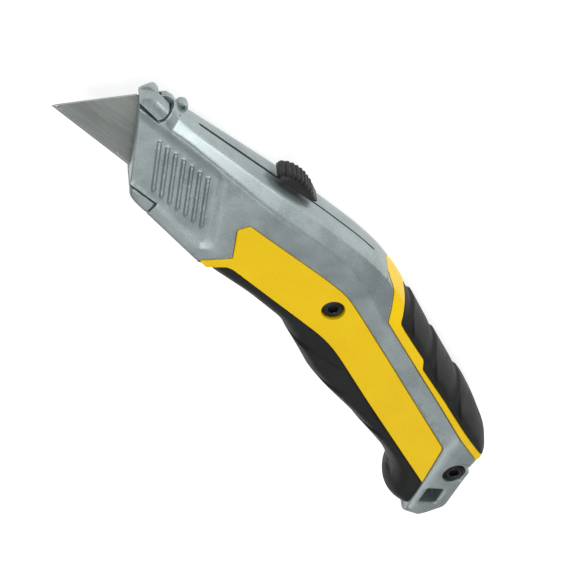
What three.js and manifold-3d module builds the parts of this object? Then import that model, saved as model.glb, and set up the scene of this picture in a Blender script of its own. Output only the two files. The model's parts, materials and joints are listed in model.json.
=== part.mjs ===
// Retractable utility knife: die-cast halves, moulded side panels, rubber grips,
// a blade carriage that slides under a ribbed thumb button, and a nose release lever.
//
// Frame, in millimetres: the knife lies on its right side, so +Z is its thickness.
// -X points out of the nose along the carriage travel, +Y is the thumb side.
// The origin is on the flat outer face of the right side panel.

import * as THREE from 'three';
import { mergeVertices } from 'three/addons/utils/BufferGeometryUtils.js';
import { ConvexGeometry } from 'three/addons/geometries/ConvexGeometry.js';
import Module from 'manifold-3d';

const wasm = await Module();
wasm.setup();

// ---------------------------------------------------------------- driving dimensions

const GAP = 0.3;                  // clearance between neighbouring pieces
const HALF = 10.8;                // half thickness of the handle
const MID = HALF;                 // height of the middle plane above the rest plane
const SPLIT = 0.15;               // half the parting gap between the two castings

const NOSE_X = -80;               // front of the nose at the top face
const TAIL_X = 95;                // farthest point of the tail
const TOP_Y = 21.8;               // top face that the thumb button runs over
const NOSE_LEAN = 0.728;          // X run of the slanted nose front per mm of height
const NOSE_FRONT_HALF = 5.6;      // half thickness at the nose front
const NOSE_TAPER_X = -26;         // where the nose reaches full thickness
const TOP_FLAT_FRONT = 3.9;       // half width of the top flat at the nose
const TOP_FLAT_REAR = 6.9;        // half width of the top flat past the taper
const CHAMFER_DROP_FRONT = 2.2;   // height of the top chamfer at the nose
const CHAMFER_DROP_REAR = 4.4;    // height of the top chamfer past the taper
const CROWN_START = 3.0;          // half width of the level strip on the crowned top
const CROWN_DROP = 0.7;           // fall of the crown out to the chamfer
const EDGE_ROUND = 1.0;           // small rounding along the remaining casting edges
const CORE_HALF = 8.0;            // half thickness of the casting core under the skins
const SKIN_INSET = 3.4;           // thickness of rubber outside the core

const PANEL_T = 2.2;              // side panel thickness
const TRIM_ROUND = 3.2;           // rounding of the back trim strips
const GRIP_ROUND = 5.6;           // rounding of the rubber grips

const BLADE_LENGTH = 61.5;
const BLADE_HEIGHT = 19;
const BLADE_SPINE = 33;
const BLADE_T = 0.65;
const BLADE_TILT = 3.7;           // degrees, blade edge against the carriage travel
const BLADE_TIP = [-93.7, 0.2];   // tip of the cutting edge, blade fully out
const BLADE_NOTCH = [2.2, 3.4];   // width and depth of the two spine notches
const BLADE_NOTCH_PITCH = 11;
const SPARE_COUNT = 4;
const SPARE_PITCH = 1.6;          // spacing of the spare blades through the thickness

const REAR_LEAN = 20.5;           // degrees that the rear handle leans down
const STORE_START = [20, 0.9];    // middle of the front end of the spare blade store
const STORE_WALL = 0.8;
const STORE_CLEAR = 0.3;          // room around the spare blades inside the store

const TRAVEL = 30.5;              // carriage travel from fully out to fully in
const CAVITY_HALF = 3.4;          // half width of the carriage channel
const CARRIER_T = 1.0;
const TONGUE_T = 0.7;
const TONGUE_LENGTH = 7;
const TONGUE_FRONT_X = -26;
const TAB_T = 0.6;
const TAB_LENGTH = 3;
const SLIT_HALF = 1.0;            // half width of the slit in the top face

const BUTTON_LENGTH = 15.6;
const BUTTON_FRONT_X = -29.8;
const BUTTON_HEIGHT = 4.0;
const BUTTON_HALF = 3.9;
const BUTTON_HOVER = 1.7;         // air between the top face and the button
const BUTTON_RIBS = 7;
const BUTTON_RIB_PITCH = 1.55;
const BUTTON_GROOVE_R = 0.42;
const PRESS = 1.2;                // travel of the button when pressed

const LEVER_REAR_X = -70.8;
const LEVER_RISE = 1.1;           // height of the lever crown over the top face
const LEVER_FRONT_DROP = 1.7;     // fall of the lever at the nose front
const KNUCKLE_RISE = 1.0;         // hump of the castings over the lever's lug
const KNUCKLE_LENGTH = 5.2;
const KNUCKLE_HALF = 4.6;
const LEVER_FLOOR = 18.7;         // underside of the lever
const LEVER_PIN = [-67.9, 19.9];
const LEVER_PIN_R = 0.8;
const LEVER_LUG_R = 1.4;
const LEVER_LUG_HALF = 2.0;
const LEVER_HALF = 5.2;
const LEVER_SPRING_T = 0.3;
const LEVER_SPRING_HALF = 1.6;
const LEVER_SPRING_LENGTH = 5;

const EYELET = [-64.6, 22.2];     // small ring on the right half of the top
const EYELET_R = 1.7;
const EYELET_HOLE_R = 0.8;
const EYELET_Z = [-4.4, -2.2];

const RIB_COUNT = 7;
const RIB_PITCH = 3.03;
const RIB_FIRST = [-65.7, 13.5];  // upper end of the first grip rib on the nose
const RIB_HEIGHT = 14;
const RIB_W = 1.0;
const RIB_PROUD = 0.45;

const MID_SCREW = [12, 2];
const TAIL_SCREW = [86.2, -22.5];
const SCREW_HEAD_R = 3.0;
const SCREW_HEAD_H = 2.2;
const SCREW_SHANK_R = 1.5;
const SCREW_RECESS = 2.6;         // depth of the screw head recess
const SCREW_CLEAR = 0.3;
const SCREW_LENGTH = 13;
const HEX_R = 1.35;               // socket in the screw head

const SLOT_CENTRE = [86.9, -32.9];
const SLOT_ALONG = 6.0;           // lanyard slot along the tail ridge
const SLOT_ACROSS = 5.6;
const RIDGE_LOW = [85.0, -40.0];  // ridge where the tail facet starts
const RIDGE_HIGH = [77.1, -14.5];
const FACET_DROP = 3.9;           // how far the facet falls at the tail end

const STORE_LENGTH = BLADE_LENGTH + STORE_WALL + 2 * STORE_CLEAR;
const STORE_HEIGHT = BLADE_HEIGHT + 2 * STORE_WALL + 2 * STORE_CLEAR;
const STORE_HALF = SPARE_COUNT * SPARE_PITCH / 2 + STORE_WALL + STORE_CLEAR;

// ---------------------------------------------------------------- outlines

const noseX = (y) => NOSE_X + (TOP_Y - y) * NOSE_LEAN;

// Whole silhouette of the knife without its blade, lever and button.
const BODY = [
  [NOSE_X, TOP_Y], [noseX(-3.7), -3.7], [-59.6, -5.8], [-57, -6.6], [-51.9, -7.2], [-29.5, -9.9],
  [-27.5, -11.2], [-23.5, -12.1], [-9.3, -12.0], [5, -13.2], [8.5, -14.8], [17.2, -18.4], [23.5, -21.2],
  [32.4, -23.6], [44.8, -26.0], [55.7, -28.4], [63, -30.5], [68.5, -33.2], [73.3, -38.9], [76.9, -41.7],
  [80, -43], [83.2, -43.1], [84.4, -41.6], [88, -41.5], [90.2, -40.5], [94.6, -35.6], [TAIL_X, -34],
  [94.4, -32], [91.8, -25.3], [90.3, -19], [91.2, -15.4], [90, -12.2], [84.8, -7.4], [74.9, -1.4],
  [66.4, 1.6], [64.6, 1.4], [61.2, 3.5], [50.6, 7.6], [48.8, 7.4], [44.9, 10.1], [35, 14],
  [33.4, 13.6], [28.4, 16.1], [25.3, 17.1], [19, 19.3], [14, 20.5], [6, TOP_Y],
];

// Side panel: a broad yellow field with a thin arm that follows the nose casting.
const PANEL = [
  [-30.3, -8.9], [-23.7, -2.1], [-29.6, 6.3], [-27.8, 9.7], [2.4, 9.2], [11.2, 8.5], [18.9, 5.8],
  [74.9, -16.2], [79.9, -29.9], [45.8, -17.4], [34.8, -13.2], [27.2, -10.2], [21.2, -8.2], [15.5, -7.1],
  [-20.8, -5.1], [-22.7, -5.5], [-27.2, -9.4],
];

// Back trim: the yellow strip between the casting and the rubber on the back.
const TRIM_INNER = [[18.5, 19.6], [23, 16.6], [25.1, 13.6], [27.6, 8.8], [48.9, 1.8], [66, -5.8], [87.2, -14.6]];
const TRIM_OUTER = [[89.6, -14.2], [86.3, -11.9], [73.3, -7.5], [60.5, -2.2], [48.3, 2.1], [46.4, 4.5],
  [31.4, 10.2], [30, 12.8], [28.1, 15.4], [27.2, 17.0]];
const BACK_GRIP = [...[...TRIM_OUTER].reverse(), [100, -15.2], [100, 30], [27.8, 30]];
const TRIM = [...TRIM_INNER, ...TRIM_OUTER, [27.2, 30], [18.5, 30]];

// Finger grip: everything below the panel, as far as the tail casting.
const GRIP_TOP = [[-29.6, -9.4], [-27.2, -9.4], [-22.7, -5.5], [-20.8, -5.1], [15.5, -7.1], [21.2, -8.2],
  [27.2, -10.2], [34.8, -13.2], [45.8, -17.4], [79.9, -29.9]];
const GRIP_END = [[80.6, -31.8], [82.6, -38.4], [84.0, -41.6], [84.6, -60]];
const FINGER_GRIP = [...GRIP_TOP, ...GRIP_END, [-29.6, -60]];

// A plainer outline just outside the grips' scallops, whose rim is rounded for them.
const GRIP_ENVELOPE = [
  [-45, -11.2], [-9, -12.2], [6, -13.4], [33, -23.9], [66, -31.6], [75, -41.8], [84, -43.4], [97, -36],
  [97, -21], [92.4, -13], [85, -7], [66.8, 2.0], [51, 7.9], [36.5, 14.2], [26, 17.6], [8, 22.6], [-45, 22.6],
];

// Toe piece: the small separate corner under the blade.
const TOE = [[noseX(-3.9) - 3, -3.9], [-51.8, -4.6], [-52.4, -9], [-70, -9]];

// ---------------------------------------------------------------- solids

function shapeOf(points) {
  return new THREE.Shape(points.map(([x, y]) => new THREE.Vector2(x, y)));
}

function solid(geometry) {
  let bare = geometry.index ? geometry.toNonIndexed() : geometry.clone();
  bare.deleteAttribute('normal');
  bare.deleteAttribute('uv');
  bare = mergeVertices(bare, 1e-4);
  return new wasm.Manifold(new wasm.Mesh({
    numProp: 3,
    vertProperties: new Float32Array(bare.attributes.position.array),
    triVerts: new Uint32Array(bare.index.array),
  }));
}

function meshOf(manifold, name, material) {
  const result = manifold.getMesh();
  const geometry = new THREE.BufferGeometry();
  geometry.setAttribute('position', new THREE.BufferAttribute(result.vertProperties, 3));
  geometry.setIndex(new THREE.BufferAttribute(result.triVerts, 1));
  geometry.computeVertexNormals();
  const mesh = new THREE.Mesh(geometry, material);
  mesh.name = name;
  return mesh;
}

// A flat plate of an outline between two heights measured from the middle plane.
function plate(points, low, high) {
  const geometry = new THREE.ExtrudeGeometry(shapeOf(points), { depth: high - low, bevelEnabled: false });
  return solid(geometry.translate(0, 0, MID + low));
}

// The outline through the whole thickness, its rim rounded in steps or cut as one chamfer.
function roundedBody(points, round, steps) {
  const geometry = new THREE.ExtrudeGeometry(shapeOf(points), {
    depth: 2 * (HALF - round),
    bevelEnabled: true,
    bevelThickness: round,
    bevelSize: round,
    bevelOffset: -round,
    bevelSegments: steps,
  });
  return solid(geometry.translate(0, 0, MID - HALF + round));
}

function block(x0, x1, y0, y1, z0, z1) {
  const geometry = new THREE.BoxGeometry(x1 - x0, y1 - y0, z1 - z0);
  return solid(geometry.translate((x0 + x1) / 2, (y0 + y1) / 2, MID + (z0 + z1) / 2));
}

// A round bar along Z between two heights from the middle plane.
function bar(x, y, radius, low, high, sides = 28) {
  const geometry = new THREE.CylinderGeometry(radius, radius, high - low, sides);
  return solid(geometry.rotateX(Math.PI / 2).translate(x, y, MID + (low + high) / 2));
}

function hull(points) {
  return solid(new ConvexGeometry(points.map(([x, y, z]) => new THREE.Vector3(x, y, MID + z))));
}

function bothSides(make) {
  return make(1).add(make(-1));
}

// Points a distance to the left of a path; used to sink the core under the rubber.
function offsetPath(points, distance) {
  return points.map((point, i) => {
    const before = points[Math.max(i - 1, 0)];
    const after = points[Math.min(i + 1, points.length - 1)];
    const run = [after[0] - before[0], after[1] - before[1]];
    const length = Math.hypot(run[0], run[1]);
    return [point[0] - run[1] / length * distance, point[1] + run[0] / length * distance];
  });
}

const FAR = 60;
const halfSpace = (side) => (side > 0
  ? block(-2 * FAR - 40, 2 * FAR, -FAR - 20, FAR, SPLIT, HALF + 5)
  : block(-2 * FAR - 40, 2 * FAR, -FAR - 20, FAR, -HALF - 5, -SPLIT));

// ---------------------------------------------------------------- casting

// Half thickness of the side face at a place along the tapered nose.
function sideHalf(x) {
  const t = (x - NOSE_X) / (NOSE_TAPER_X - NOSE_X);
  return NOSE_FRONT_HALF + (HALF - NOSE_FRONT_HALF) * Math.min(t, 1);
}

function noseTaperCut(side) {
  const ahead = NOSE_X - 10;
  const slope = (HALF - NOSE_FRONT_HALF) / (NOSE_TAPER_X - NOSE_X);
  const front = NOSE_FRONT_HALF - 10 * slope;
  const corners = [];
  for (const y of [-30, 40]) {
    corners.push([ahead, y, side * front], [NOSE_TAPER_X, y, side * HALF]);
    corners.push([ahead, y, side * (HALF + 4)], [NOSE_TAPER_X, y, side * (HALF + 4)]);
  }
  return hull(corners);
}

// Sections of the top edge from the nose back to the end of the chamfer.
const TOP_LINE = [
  { x: NOSE_X - 1, flat: TOP_FLAT_FRONT, drop: CHAMFER_DROP_FRONT, half: sideHalf(NOSE_X), y: TOP_Y },
  { x: NOSE_TAPER_X, flat: TOP_FLAT_REAR, drop: CHAMFER_DROP_REAR, half: HALF, y: TOP_Y },
  { x: 5, flat: TOP_FLAT_REAR, drop: CHAMFER_DROP_REAR, half: HALF, y: TOP_Y },
  { x: 16, flat: TOP_FLAT_REAR, drop: CHAMFER_DROP_REAR + 0.6, half: HALF, y: 20.4 },
  { x: 27, flat: TOP_FLAT_REAR, drop: CHAMFER_DROP_REAR + 1.2, half: HALF, y: 16.8 },
];

// Cuts along the top edge; each section gives the sloping line from one point to another.
function topEdgeCuts(side, lineAt) {
  const reach = 3;
  const cuts = [];
  for (let i = 0; i + 1 < TOP_LINE.length; i += 1) {
    const corners = [];
    for (const section of [TOP_LINE[i], TOP_LINE[i + 1]]) {
      const { inner, outer, drop } = lineAt(section);
      const rise = reach * drop / (outer - inner);
      corners.push([section.x, section.y + rise, side * (inner - reach)]);
      corners.push([section.x, section.y - drop - rise, side * (outer + reach)]);
      corners.push([section.x, section.y + 14, side * (outer + 12)]);
    }
    cuts.push(hull(corners));
  }
  return cuts;
}

// The broad chamfer between the top face and a side, and the gentle crown of the top.
const chamferLine = ({ flat, half, drop }) => ({ inner: flat, outer: half, drop });
const crownLine = ({ flat }) => ({ inner: CROWN_START, outer: flat, drop: CROWN_DROP * (flat - CROWN_START) / 4 });

function trimTop(body) {
  let cut = body;
  for (const side of [1, -1]) {
    for (const piece of [...topEdgeCuts(side, chamferLine), ...topEdgeCuts(side, crownLine)]) {
      cut = cut.subtract(piece);
    }
  }
  return cut;
}

// Hump of the castings over the lug that the lever turns on.
function knuckle() {
  const front = LEVER_REAR_X;
  const rear = front + KNUCKLE_LENGTH;
  const low = TOP_Y - 1;
  const high = TOP_Y + KNUCKLE_RISE;
  const corners = [];
  for (const side of [1, -1]) {
    corners.push([front, low, side * KNUCKLE_HALF], [rear, low, side * KNUCKLE_HALF]);
    corners.push([front, high, side * KNUCKLE_HALF / 2], [rear - 2, high, side * KNUCKLE_HALF / 2]);
    corners.push([front, high - 0.5, side * (KNUCKLE_HALF - 0.8)]);
  }
  return hull(corners);
}

// The sloping facet that closes each side of the tail, sunk by a depth for what lies under it.
function tailFacetCut(side, sink = 0) {
  const along = [RIDGE_HIGH[0] - RIDGE_LOW[0], RIDGE_HIGH[1] - RIDGE_LOW[1]];
  const length = Math.hypot(along[0], along[1]);
  const out = [along[1] / length, -along[0] / length];
  const reach = 20;
  const fall = FACET_DROP * reach / 12;
  const corners = [];
  for (const t of [-0.6, 1.6]) {
    const foot = [RIDGE_LOW[0] + along[0] * t, RIDGE_LOW[1] + along[1] * t];
    corners.push([foot[0], foot[1], side * (HALF - sink)], [foot[0], foot[1], side * (HALF + 3)]);
    corners.push([foot[0] + out[0] * reach, foot[1] + out[1] * reach, side * (HALF - sink - fall)]);
    corners.push([foot[0] + out[0] * reach, foot[1] + out[1] * reach, side * (HALF + 3)]);
  }
  return hull(corners);
}

function slantedBar(x, y, height, width) {
  const lean = height * NOSE_LEAN;
  return [[x - width / 2, y], [x + width / 2, y], [x + width / 2 + lean, y - height],
    [x - width / 2 + lean, y - height]];
}

// Raised finger ribs on one flank of the nose, slanted like its front.
function noseRibs(side) {
  let ribs = null;
  for (let i = 0; i < RIB_COUNT; i += 1) {
    const x = RIB_FIRST[0] + i * RIB_PITCH;
    const outline = slantedBar(x, RIB_FIRST[1], RIB_HEIGHT, RIB_W);
    const corners = outline.flatMap(([px, py]) => [
      [px, py, side * (CORE_HALF - 4)],
      [px, py, side * (sideHalf(px) + RIB_PROUD)],
    ]);
    ribs = ribs ? ribs.add(hull(corners)) : hull(corners);
  }
  return ribs;
}

function lanyardSlot() {
  const along = [RIDGE_HIGH[0] - RIDGE_LOW[0], RIDGE_HIGH[1] - RIDGE_LOW[1]];
  const length = Math.hypot(along[0], along[1]);
  const u = [along[0] / length, along[1] / length];
  const w = [u[1], -u[0]];
  return [[-1, -1], [1, -1], [1, 1], [-1, 1]].map(([a, b]) => [
    SLOT_CENTRE[0] + a * u[0] * SLOT_ALONG / 2 + b * w[0] * SLOT_ACROSS / 2,
    SLOT_CENTRE[1] + a * u[1] * SLOT_ALONG / 2 + b * w[1] * SLOT_ACROSS / 2,
  ]);
}

// Place of the blade at rest: its edge direction and the direction up its height.
const tilt = THREE.MathUtils.degToRad(BLADE_TILT);
const EDGE = [Math.cos(tilt), -Math.sin(tilt)];
const RISE = [Math.sin(tilt), Math.cos(tilt)];
const onBlade = (along, up) => [
  BLADE_TIP[0] + along * EDGE[0] + up * RISE[0],
  BLADE_TIP[1] + along * EDGE[1] + up * RISE[1],
];

// The carrier sheet lies on the right of the blade.
const CARRIER_LOW = -BLADE_T / 2 - GAP - CARRIER_T;

// Region swept by the blade and its carrier, cut out of both castings.
const CHANNEL_FLOOR = -6.2;
const CHANNEL_TOP = TOP_Y - 2.6;
const CHANNEL = [[-58, CHANNEL_TOP], [-58, -3.4], [-30, CHANNEL_FLOOR], [2, CHANNEL_FLOOR - 0.4],
  [14, CHANNEL_FLOOR - 0.4], [14, CHANNEL_TOP - 3.2], [10, CHANNEL_TOP]];

// The spare blades lie in a store along the rear handle, which leans down from the nose.
const rearLean = THREE.MathUtils.degToRad(REAR_LEAN);
const onRear = (along, up) => [
  STORE_START[0] + along * Math.cos(rearLean) + up * Math.sin(rearLean),
  STORE_START[1] - along * Math.sin(rearLean) + up * Math.cos(rearLean),
];

function storeBox(front, rear, halfHeight, half) {
  const outline = [onRear(front, -halfHeight), onRear(rear, -halfHeight), onRear(rear, halfHeight),
    onRear(front, halfHeight)];
  return plate(outline, -half, half);
}

function castingPair() {
  let skin = roundedBody(BODY, EDGE_ROUND, 2);
  skin = trimTop(skin.subtract(bothSides(noseTaperCut)));
  skin = skin.subtract(bothSides((side) => tailFacetCut(side)));
  skin = skin.add(noseRibs(1)).add(noseRibs(-1));

  const pocket = HALF - PANEL_T - GAP;
  const panelHole = bothSides((side) => (side > 0
    ? plate(grown(PANEL, GAP), pocket, HALF + 5)
    : plate(grown(PANEL, GAP), -HALF - 5, -pocket)));
  skin = skin.subtract(panelHole);
  skin = skin.subtract(plate(FINGER_GRIP, -HALF - 5, HALF + 5));
  skin = skin.subtract(plate(grown(TRIM, GAP), -HALF - 5, HALF + 5));
  skin = skin.subtract(plate(BACK_GRIP, -HALF - 5, HALF + 5));

  let shells = skin.add(core(0)).add(knuckle()).add(bar(EYELET[0], EYELET[1], EYELET_R, ...EYELET_Z));
  shells = shells.subtract(bar(EYELET[0], EYELET[1] + 0.3, EYELET_HOLE_R, EYELET_Z[0] - 1, EYELET_Z[1] + 1));
  shells = shells.subtract(plate(grown(TOE, GAP), -HALF - 5, HALF + 5));
  shells = shells.subtract(carriageSpace());
  shells = shells.subtract(plate(lanyardSlot(), -HALF - 5, HALF + 5));
  shells = shells.subtract(leverSpace());
  shells = shells.subtract(screwSpace(MID_SCREW, HALF - PANEL_T));
  shells = shells.subtract(screwSpace(TAIL_SCREW, facetTop(TAIL_SCREW)));
  return [shells.intersect(halfSpace(1)), shells.intersect(halfSpace(-1))];
}

// Outline pushed outwards by a small distance, corner by corner.
function grown(points, distance) {
  const clockwise = THREE.ShapeUtils.isClockWise(points.map(([x, y]) => new THREE.Vector2(x, y)));
  const sign = clockwise ? -1 : 1;
  const count = points.length;
  return points.map((point, i) => {
    const before = points[(i + count - 1) % count];
    const after = points[(i + 1) % count];
    const a = unit(before, point);
    const b = unit(point, after);
    const bend = Math.max(1 + a[0] * b[0] + a[1] * b[1], 0.35);
    const out = [(a[1] + b[1]) / bend, -(a[0] + b[0]) / bend];
    return [point[0] + sign * out[0] * distance, point[1] + sign * out[1] * distance];
  });
}

function unit(from, to) {
  const run = [to[0] - from[0], to[1] - from[1]];
  const length = Math.hypot(run[0], run[1]);
  return [run[0] / length, run[1] / length];
}

// Height of the tail facet above the middle plane at a point.
function facetTop([x, y]) {
  const along = [RIDGE_HIGH[0] - RIDGE_LOW[0], RIDGE_HIGH[1] - RIDGE_LOW[1]];
  const length = Math.hypot(along[0], along[1]);
  const away = ((x - RIDGE_LOW[0]) * along[1] - (y - RIDGE_LOW[1]) * along[0]) / length;
  return HALF - Math.max(away, 0) * FACET_DROP / 12;
}

// Core of both castings: the body outline, sunk under the rubber and the trim.
const CORE = coreOutline();
function coreOutline() {
  const finger = BODY.slice(7, 20);
  const back = BODY.slice(31, 43);
  const lower = offsetPath(finger, SKIN_INSET);
  const upper = offsetPath(back, SKIN_INSET);
  return [
    [-62, TOP_Y - 5], [-56, -2.5], [-50, -5.4], [-29.8, -8.3], ...lower, [82, -37.5],
    [89, -36.5], [91, -33], [88.5, -22], ...upper, [18, 16.5], [6, TOP_Y - 2],
  ];
}

// The core solid, grown by the clearance where a skin is cut to sit on it.
function core(clearance) {
  const half = CORE_HALF + clearance;
  const solidCore = plate(clearance > 0 ? grown(CORE, clearance) : CORE, -half, half);
  return solidCore.subtract(bothSides((side) => tailFacetCut(side, HALF - half)));
}

function carriageSpace() {
  const sweep = [
    onBlade(-2, -0.8), onBlade(TRAVEL + 2, -2.6), [-30, -7], [20, -8], [20, 14], [-40, 19.2],
    [-78, 19.2], [noseX(18) - 8, 18.9],
  ];
  const bladePath = plate(sweep, -0.7, 0.7);
  const armRoom = plate([[-72, 18.6], [-72, 11], [-50, 6], [-50, 18.6]], CARRIER_LOW - GAP, 0.7);
  const channel = plate(CHANNEL, -CAVITY_HALF, CAVITY_HALF);
  const front = TONGUE_FRONT_X - GAP;
  const rear = TONGUE_FRONT_X + TONGUE_LENGTH + TRAVEL + GAP;
  const slit = block(front, rear, CHANNEL_TOP - 8, TOP_Y + 2, -SLIT_HALF, SLIT_HALF);
  const store = storeBox(-GAP, STORE_LENGTH + GAP, STORE_HEIGHT / 2 + GAP, STORE_HALF + GAP);
  return bladePath.add(armRoom).add(channel).add(slit).add(store);
}

function leverSpace() {
  const opening = [[NOSE_X - 8, LEVER_FLOOR - GAP], [LEVER_REAR_X + GAP, LEVER_FLOOR - GAP],
    [LEVER_REAR_X + 1.0, TOP_Y + 4], [NOSE_X - 8, TOP_Y + 4]];
  const top = plate(opening, -HALF, HALF);
  const lugHalf = LEVER_LUG_HALF + GAP;
  const lug = bar(LEVER_PIN[0], LEVER_PIN[1], LEVER_LUG_R + GAP, -lugHalf, lugHalf);
  const reach = block(LEVER_REAR_X - 1, LEVER_PIN[0], LEVER_PIN[1] - LEVER_LUG_R - 0.7,
    LEVER_PIN[1] + LEVER_LUG_R + GAP, -lugHalf, lugHalf);
  const pin = bar(LEVER_PIN[0], LEVER_PIN[1], LEVER_PIN_R + GAP / 2, -4.4, 4.4);
  const [front, low] = leverSpringPlace();
  const spring = block(front - 1, front + LEVER_SPRING_LENGTH + GAP, low - GAP, low + LEVER_SPRING_T + GAP,
    -LEVER_SPRING_HALF - GAP, LEVER_SPRING_HALF + GAP);
  return top.add(lug).add(reach).add(pin).add(spring);
}

// Hole for a screw from the left: head recess, shank hole and a blind end.
function screwSpace([x, y], seatTop) {
  const seat = seatTop - SCREW_RECESS;
  const shank = bar(x, y, SCREW_SHANK_R + SCREW_CLEAR, seat - SCREW_LENGTH - GAP, seat + 1);
  return shank.add(bar(x, y, SCREW_HEAD_R + SCREW_CLEAR, seat, HALF + 5));
}

function screw([x, y], seatTop) {
  const seat = seatTop - SCREW_RECESS + GAP / 2;
  const head = bar(x, y, SCREW_HEAD_R, seat, seat + SCREW_HEAD_H);
  const shank = bar(x, y, SCREW_SHANK_R, seat - SCREW_LENGTH + GAP, seat + 0.1);
  const socket = bar(x, y, HEX_R, seat + SCREW_HEAD_H - 1.2, seat + SCREW_HEAD_H + 1, 6);
  return head.add(shank).subtract(socket);
}

function toePiece() {
  let toe = roundedBody(BODY, EDGE_ROUND, 2).subtract(bothSides(noseTaperCut));
  toe = toe.intersect(plate(TOE, -HALF, HALF));
  const blade = [onBlade(-2, -0.8), onBlade(TRAVEL + 10, -3.0), onBlade(TRAVEL + 10, 8), onBlade(-2, 8)];
  return toe.subtract(plate(blade, -0.7, 0.7));
}

// ---------------------------------------------------------------- skins

function sidePanel(side) {
  const low = HALF - PANEL_T;
  const raw = side > 0 ? plate(PANEL, low, HALF) : plate(PANEL, -HALF, -low);
  if (side < 0) return raw;
  return raw.subtract(bar(MID_SCREW[0], MID_SCREW[1], SCREW_HEAD_R + SCREW_CLEAR, 0, HALF + 5));
}

function gripPiece(region, side) {
  const body = roundedBody(GRIP_ENVELOPE, GRIP_ROUND, 3).intersect(plate(BODY, -HALF, HALF));
  const piece = body.subtract(bothSides((flank) => tailFacetCut(flank))).intersect(plate(region, -HALF, HALF));
  return piece.subtract(core(GAP)).intersect(halfSpace(side));
}

const fingerGrip = (side) => gripPiece(grown(FINGER_GRIP, -GAP), side);
const backGrip = (side) => gripPiece(grown(BACK_GRIP, -GAP), side);

function backTrim(side) {
  let body = roundedBody(GRIP_ENVELOPE, TRIM_ROUND, 3).intersect(plate(BODY, -HALF, HALF));
  body = trimTop(body.subtract(bothSides((flank) => tailFacetCut(flank))));
  const piece = body.intersect(plate(TRIM, -HALF, HALF));
  return piece.subtract(core(GAP)).intersect(halfSpace(side));
}

// ---------------------------------------------------------------- carriage, blade and button

function bladeOutline() {
  const inset = (BLADE_LENGTH - BLADE_SPINE) / 2;
  const middle = BLADE_LENGTH / 2;
  const notch = (centre) => [
    [centre + BLADE_NOTCH[0] / 2, BLADE_HEIGHT], [centre + BLADE_NOTCH[0] / 2, BLADE_HEIGHT - BLADE_NOTCH[1]],
    [centre - BLADE_NOTCH[0] / 2, BLADE_HEIGHT - BLADE_NOTCH[1]], [centre - BLADE_NOTCH[0] / 2, BLADE_HEIGHT],
  ];
  return [
    [0, 0], [BLADE_LENGTH, 0], [BLADE_LENGTH - inset, BLADE_HEIGHT],
    ...notch(middle + BLADE_NOTCH_PITCH / 2), ...notch(middle - BLADE_NOTCH_PITCH / 2), [inset, BLADE_HEIGHT],
  ];
}

// The blade with its cutting edge ground to a wedge on both faces.
function blade() {
  const flat = plate(bladeOutline().map(([a, u]) => onBlade(a, u)), -BLADE_T / 2, BLADE_T / 2);
  const grind = 2.6;
  const cutFor = (side) => hull([-1, BLADE_LENGTH + 1].flatMap((along) => [
    [...onBlade(along, grind), side * BLADE_T / 2],
    [...onBlade(along, -0.2), side * 0.03],
    [...onBlade(along, -0.2), side * 2],
    [...onBlade(along, grind), side * 2],
  ]));
  return flat.subtract(bothSides(cutFor));
}

function bladeCarrier() {
  const low = CARRIER_LOW;
  const high = low + CARRIER_T;
  const clear = MID_SCREW[0] - SCREW_SHANK_R - TRAVEL - 1;
  const sheet = [[-70, 17.2], [-70, 12.5], [-56, 9], [-50, 1.0], [clear, -0.3], [clear, 4.6], [-17, 4.6], [-17, 15.6],
    [-45, 15.8]];
  const rear = [[-25.6, 4.6], [-17, 4.6], [-17, 15.6], [-26, 15.6]];
  const body = plate(sheet, low, high).add(plate(rear, low, TONGUE_T / 2 - 0.3));
  const tongueRear = TONGUE_FRONT_X + TONGUE_LENGTH;
  const tongue = block(TONGUE_FRONT_X, tongueRear, 12, TOP_Y + BUTTON_HOVER + 1.2, -TONGUE_T + 0.05, 0.05);
  const studs = [-1, 1].map((s) => {
    const [x, y] = onBlade(BLADE_LENGTH / 2 + s * BLADE_NOTCH_PITCH / 2, BLADE_HEIGHT - BLADE_NOTCH[1] + 1.2);
    return bar(x, y, 0.75, low, BLADE_T / 2 + 0.2, 12);
  });
  return studs.reduce((sum, stud) => sum.add(stud), body.add(tongue));
}

// Spring clip that presses the blade against the carrier sheet.
function bladeClip() {
  const low = BLADE_T / 2 + GAP;
  const strip = [[-47, 10.5], [-47, 7.5], [-30.2, 6.5], [-30.2, 9.5]];
  const foot = [[-30.2, 6.5], [-18, 6.0], [-18, 9.0], [-30.2, 9.5]];
  return plate(strip, low, low + 0.4).add(plate(foot, low, low + 0.4));
}

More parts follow.
